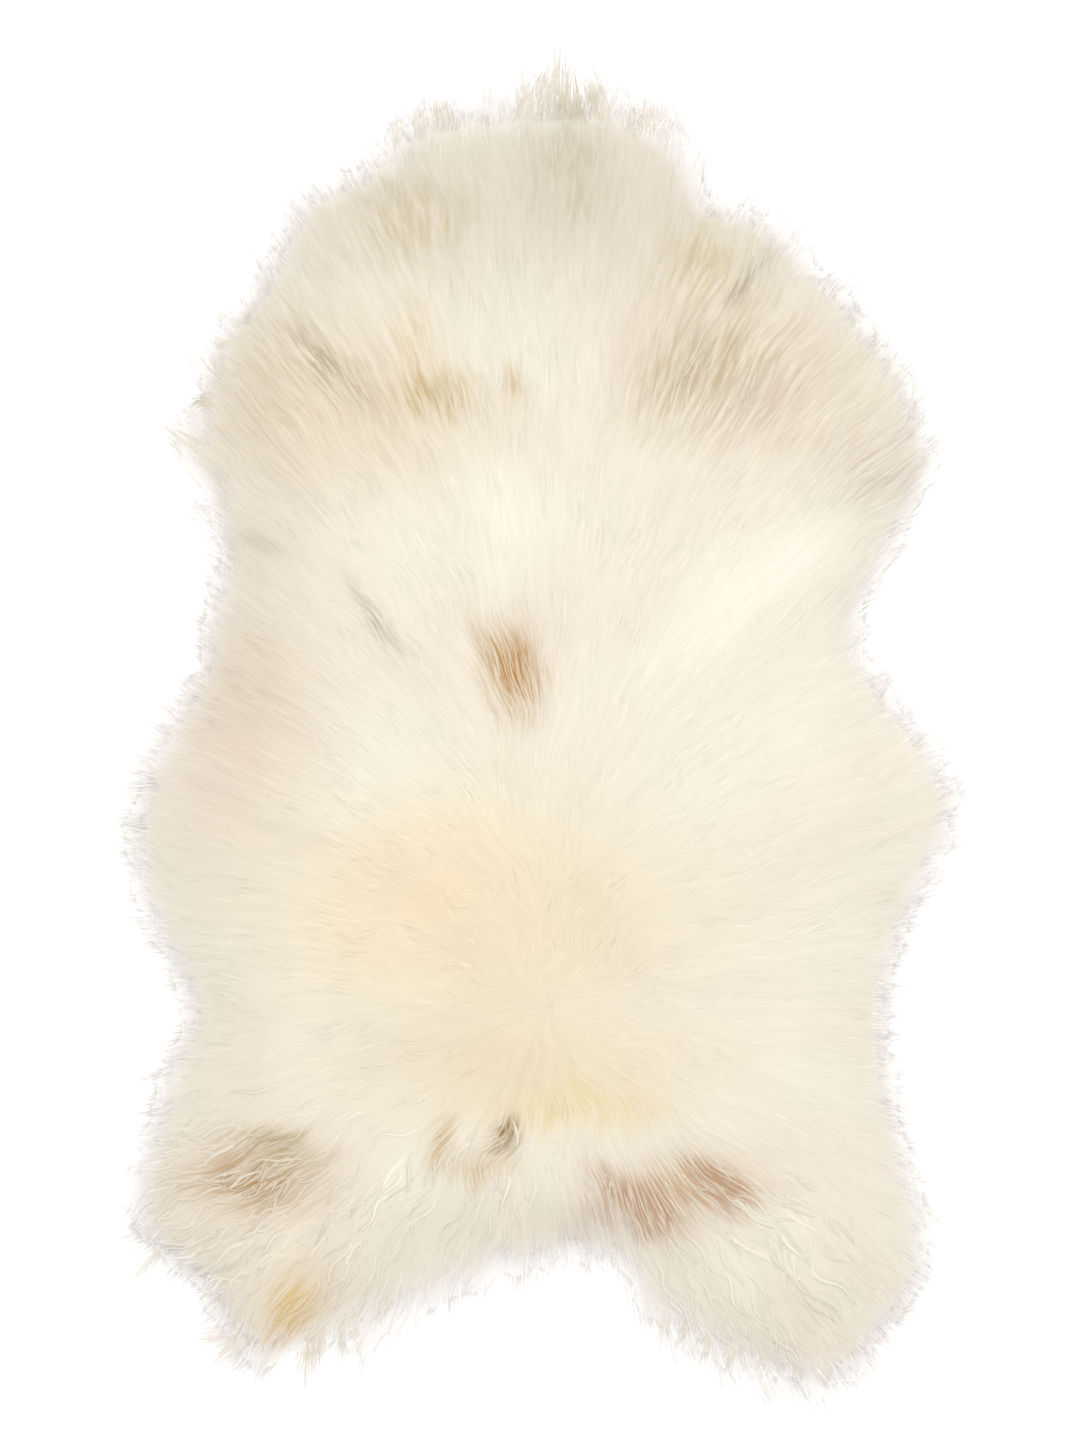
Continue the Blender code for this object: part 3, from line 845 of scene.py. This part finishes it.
class Tufts:
    """The tufts that neighbouring strands lie in."""

    def __init__(self, spacing):
        chance = np.random.default_rng(TUFT_SEED)
        self.roots = root_places(spacing, TUFT_SEED, TUFT_REACH)
        count = len(self.roots)
        curling = TUFT_TURN * (1 + TUFT_CURL * curliness(self.roots))
        self.turn = chance.normal(0, 1, count) * curling
        self.length = chance.uniform(*TUFT_LENGTHS, count)
        self.lift = chance.normal(0, 1, count)
        self.cut = chance.uniform(*REACH_CUTS, count)
        self.tree = KDTree(count)
        for number, (x, y) in enumerate(self.roots):
            self.tree.insert((x, y, 0), number)
        self.tree.balance()

    def nearest(self, places):
        """The number of the tuft that each of the places lies in."""
        return np.array([self.tree.find((x, y, 0))[1] for x, y in places])


def strand_lines(roots, lengths, turn, tufts, own, pull, spans):
    """The lines of strands that start at their roots and draw towards their tufts' tips."""
    lines = combed(roots, lengths, turn, spans)
    lead = combed(tufts.roots[own], lengths, tufts.turn[own], spans)
    drawn = pull * np.linspace(0, 1, spans + 1) ** 1.5
    return lines + (lead - lines) * drawn[:, None]


def waved(lines, wave, wave_length, chance):
    """The lines bent from side to side, the more the nearer to their tips."""
    count, points = lines.shape[:2]
    spans = np.linalg.norm(np.diff(lines, axis=1), axis=2)
    far = np.concatenate([np.zeros((count, 1)), np.cumsum(spans, axis=1)], axis=1)
    phases = chance.uniform(0, 2 * math.pi, (count, 1))
    growing = np.linspace(0, 1, points) ** 0.5
    waves = wave * chance.uniform(*WAVE_SPREAD, (count, 1)) * growing
    ahead = unit(np.gradient(lines, axis=1))
    left = np.stack([-ahead[..., 1], ahead[..., 0]], axis=-1)
    bend = waves * np.sin(far / wave_length * 2 * math.pi + phases)
    return lines + left * bend[..., None]


def make_strands(name, kind, roots, tufts, settings, colours, chance):
    """A piece of strands that grow from the roots."""
    count = len(roots)
    own = tufts.nearest(roots)
    turn = tufts.turn[own] + chance.normal(0, kind.stray, count)
    lengths = settings.length + sum_of_growths(roots, "longer") * MM
    lengths = np.maximum(lengths, SHORTEST) * tufts.length[own] * kind.length
    lengths = lengths * chance.uniform(*LENGTH_SPREAD, count)
    lines = strand_lines(roots, lengths, turn, tufts, own, settings.pull, COMB_STEPS)
    cuts = tufts.cut[own] * chance.uniform(*kind.cut, count)
    lengths = np.maximum(cut_to_reach(lengths, lines, cuts), SHORTEST)
    lines = strand_lines(roots, lengths, turn, tufts, own, settings.pull, kind.spans)
    lifts = tufts.lift[own] * settings.roughness
    return strands_along(name, kind, lines, lifts, settings, colours, chance)


def loose_lines(lock, spans, chance):
    """Lines from a loose lock's root to its tip, that set out along the wool's lie. The lock
    is longest in the middle."""
    root, tip = place(lock.across, lock.along), place(lock.tip_across, lock.tip_along)
    count = LOOSE_LEAST + round(lock.wide * LOOSE_STRANDS)
    ahead = unit(tip - root)
    left = np.array([-ahead[1], ahead[0]])
    far = np.linalg.norm(tip - root)
    aside = chance.uniform(-0.5, 0.5, (count, 1))
    spread = aside * lock.wide * MM
    roots = root + left * spread - ahead * chance.uniform(0, LOOSE_ROOTS, (count, 1)) * far
    short = chance.uniform(0, 1, (count, 1)) ** 1.3 * LOOSE_SHORTER + LOOSE_POINTED * aside**2
    tips = tip + left * spread * LOOSE_CLOSING - ahead * short * far
    tips = tips + chance.normal(0, LOOSE_SCATTER, (count, 2))
    length = np.linalg.norm(tips - roots, axis=1)[:, None]
    middles = roots + wool_direction(roots, maps) * length * LOOSE_BEND
    share = np.linspace(0, 1, spans + 1)[:, None]
    roots, middles, tips = (points[:, None] for points in (roots, middles, tips))
    return roots * (1 - share) ** 2 + middles * 2 * share * (1 - share) + tips * share**2


def strands_along(name, kind, lines, lifts, settings, colours, chance):
    """A piece of strands that lie along the lines."""
    count = len(lines)
    lines = waved(lines, kind.wave, settings.wave_length, chance)
    lifts = lifts + kind.lift + chance.normal(0, 1, count) * kind.loose
    paths = laid_on_wool(lines, lifts, settings.root_depth)
    widths = kind.width * chance.uniform(*SIZE_SPREAD, count)
    depths = kind.depth * chance.uniform(*SIZE_SPREAD, count)
    template = strand_template(kind.spans)
    rolls = chance.normal(0, ROLL, count)
    points, normals = swept(paths, widths, depths, rolls, template)
    tone = chance.normal(0, 1, (count, 1))
    tone = np.broadcast_to(tone, points.shape[:2])
    along = template[1] / kind.spans
    grown = points[..., :2] * (1 - kind.rooted) + lines[:, :1] * kind.rooted
    tint = wool_colour(grown, colours, tone, along, kind.fading)
    return strand_mesh(name, points, normals, template[2], tint)


# ---------------------------------------------------------------- materials

# Streaks in the deep wool: width and length. Wool fibres are 0.03 mm thick, too fine to show,
# so the fine streaks are as wide as a small bundle of them.
FINE_STREAKS = (1.6 * MM, 32 * MM)
BROAD_STREAKS = (6 * MM, 60 * MM)
STREAK_HEIGHT = 0.5 * MM
LEATHER_BLOTCH = 70 * MM  # size of the darker parts that tanning leaves
LEATHER_NAP = 1.2 * MM  # size of the bumps that buffing leaves, coarser than the real 0.2 mm
NAP_HEIGHT = 0.3 * MM


def add_node(tree, kind, values=None, links=None, **settings):
    """A node of this kind. values sets its sockets, and links joins them to other outputs."""
    node = tree.nodes.new(kind)
    for name, value in settings.items():
        setattr(node, name, value)
    for socket, value in (values or {}).items():
        node.inputs[socket].default_value = value
    for socket, output in (links or {}).items():
        tree.links.new(output, node.inputs[socket])
    return node


def new_material(name):
    """The material of this name, with its nodes and its shader, or with None for both where
    it has been made already."""
    made = bpy.data.materials.get(name)
    if made is not None:
        return made, None, None
    made = bpy.data.materials.new(name)
    made.use_nodes = True
    tree = made.node_tree
    return made, tree, tree.nodes["Principled BSDF"]


def wool_material():
    """Sheep's wool: fine scaly fibres, so it is matt with a faint soft sheen."""
    made, tree, shader = new_material("sheep's wool")
    if tree is None:
        return made
    tint = add_node(tree, "ShaderNodeAttribute", attribute_name="wool_colour")
    tree.links.new(tint.outputs["Color"], shader.inputs["Base Color"])
    shader.inputs["Roughness"].default_value = 0.8
    shader.inputs["Specular IOR Level"].default_value = 0.2
    shader.inputs["Sheen Weight"].default_value = 0.1
    shader.inputs["Sheen Roughness"].default_value = 0.5
    return made


def streaks(tree, width, length):
    """Noise drawn out along the wool's lie. The streaks keep about the given width however far
    the wool fans out: they are mixed from two octaves, picked by how wide it has spread."""
    flow = add_node(tree, "ShaderNodeAttribute", attribute_name="flow")
    spread = add_node(tree, "ShaderNodeAttribute", attribute_name="spread")
    widths = add_node(
        tree,
        "ShaderNodeMath",
        values={1: width},
        links={0: spread.outputs["Fac"]},
        operation="DIVIDE",
    )
    octave = add_node(
        tree,
        "ShaderNodeMath",
        values={1: 2.0},
        links={0: widths.outputs[0]},
        operation="LOGARITHM",
    )
    level = add_node(
        tree, "ShaderNodeMath", links={0: octave.outputs[0]}, operation="FLOOR"
    )
    share = add_node(
        tree,
        "ShaderNodeMath",
        links={0: octave.outputs[0], 1: level.outputs[0]},
        operation="SUBTRACT",
    )
    grains = []
    for base in (1.0, 2.0):
        power = add_node(
            tree,
            "ShaderNodeMath",
            values={0: 2.0},
            links={1: level.outputs[0]},
            operation="POWER",
        )
        scale = add_node(
            tree,
            "ShaderNodeMath",
            values={1: base},
            links={0: power.outputs[0]},
            operation="MULTIPLY",
        )
        scales = add_node(
            tree,
            "ShaderNodeCombineXYZ",
            values={"Z": 1 / length},
            links={"X": scale.outputs[0], "Y": scale.outputs[0]},
        )
        drawn = add_node(
            tree,
            "ShaderNodeVectorMath",
            links={0: flow.outputs["Vector"], 1: scales.outputs["Vector"]},
            operation="MULTIPLY",
        )
        grain = add_node(
            tree,
            "ShaderNodeTexNoise",
            values={"Scale": 1.0, "Detail": 2.0, "Roughness": 0.6},
            links={"Vector": drawn.outputs["Vector"]},
        )
        grains.append(grain.outputs["Fac"])
    mixed = add_node(
        tree,
        "ShaderNodeMix",
        links={"Factor": share.outputs[0], "A": grains[0], "B": grains[1]},
        data_type="FLOAT",
    )
    return mixed.outputs["Result"]


def underwool_material():
    """The deep wool: fibres that lie side by side, so it is matt with fine soft streaks."""
    made, tree, shader = new_material("deep wool")
    if tree is None:
        return made
    plain = add_node(tree, "ShaderNodeAttribute", attribute_name="wool_colour")
    marks = add_node(tree, "ShaderNodeAttribute", attribute_name="mark_colour")
    marked = add_node(tree, "ShaderNodeAttribute", attribute_name="mark_share")
    fine = streaks(tree, *FINE_STREAKS)
    broad = streaks(tree, *BROAD_STREAKS)
    both = add_node(tree, "ShaderNodeMath", links={0: fine, 1: broad}, operation="ADD")
    shade = add_node(
        tree,
        "ShaderNodeMapRange",
        values={"From Min": 0.75, "From Max": 1.25, "To Min": 0.95, "To Max": 1.02},
        links={"Value": both.outputs[0]},
    )
    torn = add_node(
        tree,
        "ShaderNodeMapRange",
        values={"From Min": 0.35, "From Max": 0.65, "To Min": 1.7, "To Max": 0.3},
        links={"Value": fine},
    )
    share = add_node(
        tree,
        "ShaderNodeMath",
        links={0: marked.outputs["Fac"], 1: torn.outputs["Result"]},
        operation="MULTIPLY",
    )
    tint = add_node(
        tree,
        "ShaderNodeMix",
        links={
            "Factor": share.outputs[0],
            "A": plain.outputs["Color"],
            "B": marks.outputs["Color"],
        },
        data_type="RGBA",
        clamp_factor=True,
    )
    mixed = add_node(
        tree,
        "ShaderNodeVectorMath",
        links={0: tint.outputs["Result"], "Scale": shade.outputs["Result"]},
        operation="SCALE",
    )
    relief = add_node(
        tree,
        "ShaderNodeBump",
        values={"Strength": 0.6, "Distance": STREAK_HEIGHT},
        links={"Height": both.outputs[0]},
    )
    tree.links.new(mixed.outputs["Vector"], shader.inputs["Base Color"])
    tree.links.new(relief.outputs["Normal"], shader.inputs["Normal"])
    shader.inputs["Roughness"].default_value = 0.85
    shader.inputs["Specular IOR Level"].default_value = 0.2
    return made


def leather_material():
    """Tanned sheepskin leather: the buffed flesh side, with a short nap, matt and mottled."""
    made, tree, shader = new_material("tanned sheepskin leather")
    if tree is None:
        return made
    colours = bpy.context.scene.rug_colours
    where = add_node(tree, "ShaderNodeTexCoord")
    blotches = add_node(
        tree,
        "ShaderNodeTexNoise",
        values={"Scale": 1 / LEATHER_BLOTCH, "Detail": 5.0, "Roughness": 0.6},
        links={"Vector": where.outputs["Object"]},
    )
    nap = add_node(
        tree,
        "ShaderNodeTexNoise",
        values={"Scale": 1 / LEATHER_NAP, "Detail": 3.0, "Roughness": 0.7},
        links={"Vector": where.outputs["Object"]},
    )
    mottled = add_node(
        tree,
        "ShaderNodeMapRange",
        values={"From Min": 0.35, "From Max": 0.7},
        links={"Value": blotches.outputs[0]},
    )
    mixed = add_node(
        tree,
        "ShaderNodeMix",
        values={"A": (*colours.leather, 1), "B": (*colours.leather_dark, 1)},
        links={"Factor": mottled.outputs[0]},
        data_type="RGBA",
    )
    relief = add_node(
        tree,
        "ShaderNodeBump",
        values={"Strength": 0.5, "Distance": NAP_HEIGHT},
        links={"Height": nap.outputs[0]},
    )
    tree.links.new(mixed.outputs["Result"], shader.inputs["Base Color"])
    tree.links.new(relief.outputs[0], shader.inputs["Normal"])
    shader.inputs["Roughness"].default_value = 0.9
    shader.inputs["Sheen Weight"].default_value = 0.2
    return made


def floor_material():
    """A smooth painted studio floor, matt."""
    made, tree, shader = new_material("matt studio paint")
    if tree is None:
        return made
    shader.inputs["Base Color"].default_value = (*bpy.context.scene.rug_colours.floor, 1)
    shader.inputs["Roughness"].default_value = 0.9
    shader.inputs["Specular IOR Level"].default_value = 0.1
    return made


# ---------------------------------------------------------------- pieces

LEVEL = math.radians(1)  # faces that bend less than this are level
CUT_EDGE = 1.0  # the leather's cut edges bend more than this, in radians
DOUBLES = 1e-5  # points nearer than this are one


def finish_piece(piece, material, node):
    """Gives a finished piece its material, attaches it to the root body, and hides the solid that
    it stands in for.
    """
    piece.data.materials.clear()
    piece.data.materials.append(material)
    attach(piece, "root")
    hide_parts(node)
    return piece


def cut_up_wide_faces(shape):
    """Cuts faces with more than four corners into triangles, the same way in each run."""
    wide = [face for face in shape.faces if len(face.verts) > 4]
    bmesh.ops.triangulate(shape, faces=wide, ngon_method="EAR_CLIP")


def finish_wool(piece, material):
    """Finishes a piece of wool, in place of the fleece's solid."""
    finish_piece(piece, material, "fleece")


class RUG_OT_hide(bpy.types.Operator):
    """Make the leather: the hide's solid with softened edges"""

    bl_idname = "rug.hide"
    bl_label = "Hide"

    edge_radius: length_property("Edge radius", "Rounding of the leather's cut edge", 0.6)

    def execute(self, context):
        shape = bmesh.new()
        shape.from_mesh(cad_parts["hide"].data)
        bmesh.ops.remove_doubles(shape, verts=shape.verts, dist=DOUBLES)
        bmesh.ops.dissolve_limit(
            shape, angle_limit=LEVEL, verts=shape.verts, edges=shape.edges
        )
        rims = [edge for edge in shape.edges if edge.calc_face_angle(0) > CUT_EDGE]
        bmesh.ops.bevel(
            shape,
            geom=rims,
            offset=self.edge_radius,
            segments=3,
            profile=0.5,
            affect="EDGES",
            material=-1,
        )
        cut_up_wide_faces(shape)
        made = linked(mesh_of(shape, "hide_leather"))
        finish_piece(made, leather_material(), "hide")
        return {"FINISHED"}


class RUG_OT_underwool(bpy.types.Operator):
    """Make the deep wool: a closed mat on the fleece's own form, in tufts along the lie"""

    bl_idname = "rug.underwool"
    bl_label = "Deep wool"

    def execute(self, context):
        shape = bmesh.new()
        columns, rows = maps.count
        size = (maps.count - 1) * MAP_STEP
        middle = maps.low + size / 2
        bmesh.ops.create_grid(shape, x_segments=columns - 1, y_segments=rows - 1, size=0.5)
        bmesh.ops.scale(shape, verts=shape.verts, vec=(*size, 1))
        bmesh.ops.translate(shape, verts=shape.verts, vec=(*middle, 0))
        self.trim(shape)
        grown = bmesh.ops.extrude_face_region(
            shape, geom=list(shape.faces), use_keep_orig=True
        )["geom"]
        foot = {item for item in grown if isinstance(item, bmesh.types.BMVert)}
        self.set_heights([vert for vert in shape.verts if vert not in foot], self.top)
        self.set_heights(list(foot), self.foot)
        self.simplify(shape, foot)
        bmesh.ops.recalc_face_normals(shape, faces=shape.faces)
        for edge in shape.edges:
            edge.smooth = edge.calc_face_angle(0) < EDGE_ANGLE
        mesh = mesh_of(shape, "underwool")
        mesh.shade_smooth()
        self.add_layers(mesh, context.scene.rug_colours)
        finish_wool(linked(mesh), underwool_material())
        return {"FINISHED"}

    def trim(self, shape):
        """Cuts the grid to the wool's outline, as one connected part with a smooth border."""
        verts = list(shape.verts)
        share = maps.at(maps.is_mat * 1.0, np.array([vert.co[:2] for vert in verts]))
        outside = [vert for vert, inside in zip(verts, share) if inside < 0.5]
        bmesh.ops.delete(shape, geom=outside, context="VERTS")
        middle = min(shape.verts, key=lambda vert: (vert.co.xy - Vector(WHORL)).length)
        joined, fresh = {middle}, [middle]
        while fresh:
            faces = {face for vert in fresh for face in vert.link_faces}
            fresh = {vert for face in faces for vert in face.verts} - joined
            joined |= fresh
        loose = [vert for vert in shape.verts if vert not in joined]
        bmesh.ops.delete(shape, geom=loose, context="VERTS")
        border = [vert for vert in shape.verts if vert.is_boundary]
        for _ in range(BORDER_SMOOTHING):
            bmesh.ops.smooth_vert(
                shape, verts=border, factor=0.5, use_axis_x=True, use_axis_y=True
            )

    def simplify(self, shape, foot):
        """Joins the faces of the foot wherever they are level, away from its ragged edge."""
        foot = [vert for vert in shape.verts if vert in foot]
        reach = maps.at(maps.reach, np.array([vert.co[:2] for vert in foot]))
        inner = [vert for vert, share in zip(foot, reach) if share > FOOT_JOINED]
        both = set(inner)
        edges = [edge for edge in shape.edges if all(vert in both for vert in edge.verts)]
        bmesh.ops.dissolve_limit(shape, angle_limit=LEVEL, verts=inner, edges=edges)
        cut_up_wide_faces(shape)

    def top(self, places):
        """The wool's top, which stays a little above its foot."""
        return np.maximum(maps.at(maps.top, places), self.foot(places) + THINNEST / 2)

    def foot(self, places):
        """The hide's top with a small gap, or the floor past the hide's edge."""
        on_hide = maps.at(maps.hide, places) > HIDE_EDGE
        return np.where(on_hide, HIDE_TOP + HIDE_GAP, FLOOR_CLEARANCE)

    def set_heights(self, verts, height_at):
        """Moves each point to the height that height_at gives for its place."""
        heights = height_at(np.array([vert.co[:2] for vert in verts]))
        for vert, height in zip(verts, heights):
            vert.co.z = height

    def add_layers(self, mesh, colours):
        """Stores the mat's colour at each point, and how the wool lies there."""
        places = np.array([vert.co[:2] for vert in mesh.vertices])
        still = np.zeros(len(places))
        marks, share = sum_of_marks(places, still, still)
        plain = plain_colour(places, colours, still, 1)
        add_colours(mesh, "wool_colour", plain)
        add_colours(mesh, "mark_colour", marks)
        add_values(mesh, "mark_share", share)
        flow = np.stack([maps.at(field, places) for field in maps.flow], axis=-1)
        add_values(mesh, "flow", flow)
        add_values(mesh, "spread", maps.at(maps.spread, places))


class RUG_OT_locks(bpy.types.Operator):
    """Make the locks of wool that are rooted in one zone of the rug"""

    bl_idname = "rug.locks"
    bl_label = "Locks"

    zone: EnumProperty(
        name="Zone",
        description="The part of the rug that the locks grow on",
        items=[(name, name.capitalize(), f"The {name} of the rug") for name in ZONES],
    )

    def execute(self, context):
        settings, colours = context.scene.rug_wool, context.scene.rug_colours
        names = list(ZONES)
        number = names.index(self.zone)
        bottom = place(0, ZONES[self.zone])[1]
        top = place(0, ZONES[names[number - 1]])[1] if number else math.inf
        tufts = Tufts(settings.tuft_spacing)
        for name, kind in strand_kinds(settings).items():
            roots = root_places(kind.spacing, kind.seed, kind.reach)
            roots = roots[(roots[:, 1] >= bottom) & (roots[:, 1] < top)]
            if name == "curls":
                roots = roots[sum_of_growths(roots, "curlier") > CURLY]
                if len(roots) == 0:
                    continue
            if len(roots) == 0:
                raise RuntimeError(f"no {name} grow in the zone {self.zone}")
            chance = np.random.default_rng(kind.seed * 10 + number)
            made = make_strands(
                f"{self.zone}_{name}", kind, roots, tufts, settings, colours, chance
            )
            finish_wool(made, wool_material())
        return {"FINISHED"}


class RUG_OT_loose_locks(bpy.types.Operator):
    """Make the loose locks that stand out past the rim"""

    bl_idname = "rug.loose_locks"
    bl_label = "Loose locks"

    def execute(self, context):
        settings, colours = context.scene.rug_wool, context.scene.rug_colours
        kind = strand_kinds(settings)["fringe"]
        kind = kind._replace(
            width=kind.width * LOOSE_WIDTH,
            depth=LOOSE_DEPTH,
            fading=LOOSE_FADING,
            rooted=LOOSE_ROOTED,
        )
        chance = np.random.default_rng(LOOSE_SEED)
        lines = [loose_lines(lock, kind.spans, chance) for lock in LOOSE_LOCKS.values()]
        lines = np.concatenate(lines)
        still = np.zeros(len(lines))
        made = strands_along("loose_locks", kind, lines, still, settings, colours, chance)
        finish_wool(made, wool_material())
        return {"FINISHED"}


class RUG_OT_declare(bpy.types.Operator):
    """A step that does nothing"""

    bl_idname = "rug.declare"
    bl_label = "Declare the sheet"

    def execute(self, context):
        return {"FINISHED"}


# ---------------------------------------------------------------- stage

FLOOR_HALF = 6  # half the length of the floor's side
FLOOR_DROP = 0.01 * MM  # the floor lies this far under the rug's underside
SOFTBOX_SIZE = (2.4, 1.6)
SOFTBOX_PLACE = (0.3, 0.5, 2.5)  # from the middle of the picture
VIEW_END = 50


class RUG_OT_stage(bpy.types.Operator):
    """Make the floor, the lights and the camera that looks straight down"""

    bl_idname = "rug.stage"
    bl_label = "Stage"

    photo_middle: FloatVectorProperty(
        name="Picture's middle",
        description="Where the picture's middle lies, from the middle of the hide",
        size=2,
        subtype="XYZ",
        unit="LENGTH",
        default=(-2.4 * MM, 16.1 * MM),
    )
    wool_level: length_property("Wool level", "Height at which the picture's scale holds", 8)

    def execute(self, context):
        context.scene.view_settings.view_transform = "Standard"
        middle = HIDE_MIDDLE + np.array(self.photo_middle)
        self.make_floor()
        self.make_lights(context, middle)
        self.make_camera(context, middle)
        return {"FINISHED"}

    def make_floor(self):
        shape = bmesh.new()
        bmesh.ops.create_grid(shape, x_segments=1, y_segments=1, size=FLOOR_HALF)
        floor = linked(mesh_of(shape, "floor"))
        floor.data.materials.append(floor_material())
        floor.location.z = -FLOOR_DROP

    def make_lights(self, context, middle):
        settings = context.scene.rug_stage
        world = bpy.data.worlds.new("white studio")
        world.use_nodes = True
        background = world.node_tree.nodes["Background"]
        background.inputs["Color"].default_value = (1, 1, 1, 1)
        background.inputs["Strength"].default_value = settings.ambient
        context.scene.world = world
        light = bpy.data.lights.new("softbox", "AREA")
        light.shape = "RECTANGLE"
        light.size, light.size_y = SOFTBOX_SIZE
        light.energy = settings.softbox_power
        box = bpy.data.objects.new("softbox", light)
        box.location = Vector((*middle, 0)) + Vector(SOFTBOX_PLACE)
        aim = Vector((*middle, 0)) - Vector(box.location)
        box.rotation_euler = aim.to_track_quat("-Z", "Y").to_euler()
        context.scene.collection.objects.link(box)

    def make_camera(self, context, middle):
        settings = context.scene.rug_stage
        camera = bpy.data.cameras.new("camera")
        camera.sensor_fit = "VERTICAL"
        height = settings.camera_height - self.wool_level
        camera.angle_y = 2 * math.atan(settings.frame_height / 2 / height)
        camera.clip_end = VIEW_END
        made = bpy.data.objects.new("camera", camera)
        made.location = (*middle, settings.camera_height)
        context.scene.collection.objects.link(made)
        context.scene.camera = made


# ---------------------------------------------------------------- add-on


class RUG_PT_sidebar(bpy.types.Panel):
    """The sheepskin's settings and steps"""

    bl_idname = "RUG_PT_sidebar"
    bl_label = "Sheepskin Rug"
    bl_space_type = "VIEW_3D"
    bl_region_type = "UI"
    bl_category = "Sheepskin"

    def draw(self, context):
        layout = self.layout
        for group in (
            context.scene.rug_wool,
            context.scene.rug_colours,
            context.scene.rug_stage,
        ):
            box = layout.box()
            for name in group.__annotations__:
                box.prop(group, name)
        layout.operator(RUG_OT_hide.bl_idname)
        layout.operator(RUG_OT_underwool.bl_idname)
        for zone in ZONES:
            layout.operator(RUG_OT_locks.bl_idname, text=f"{zone} locks").zone = zone
        layout.operator(RUG_OT_loose_locks.bl_idname)
        layout.operator(RUG_OT_declare.bl_idname)
        layout.operator(RUG_OT_stage.bl_idname)


CLASSES = (
    WoolSettings,
    ColourSettings,
    StageSettings,
    RUG_OT_hide,
    RUG_OT_underwool,
    RUG_OT_locks,
    RUG_OT_loose_locks,
    RUG_OT_declare,
    RUG_OT_stage,
    RUG_PT_sidebar,
)


def register():
    for made in CLASSES:
        bpy.utils.register_class(made)
    bpy.types.Scene.rug_wool = PointerProperty(type=WoolSettings)
    bpy.types.Scene.rug_colours = PointerProperty(type=ColourSettings)
    bpy.types.Scene.rug_stage = PointerProperty(type=StageSettings)


def unregister():
    del bpy.types.Scene.rug_stage
    del bpy.types.Scene.rug_colours
    del bpy.types.Scene.rug_wool
    for made in reversed(CLASSES):
        bpy.utils.unregister_class(made)


def plain(box):
    """A box's corners as plain lists of numbers."""
    return [[float(number) for number in corner] for corner in box]


def main():
    register()
    bpy.ops.rug.stage()
    bpy.ops.rug.hide()
    bpy.ops.rug.underwool()
    for zone in ZONES:
        bpy.ops.rug.locks(zone=zone)
    bpy.ops.rug.loose_locks()
    bpy.ops.rug.declare()


if __name__ == "__main__":
    main()
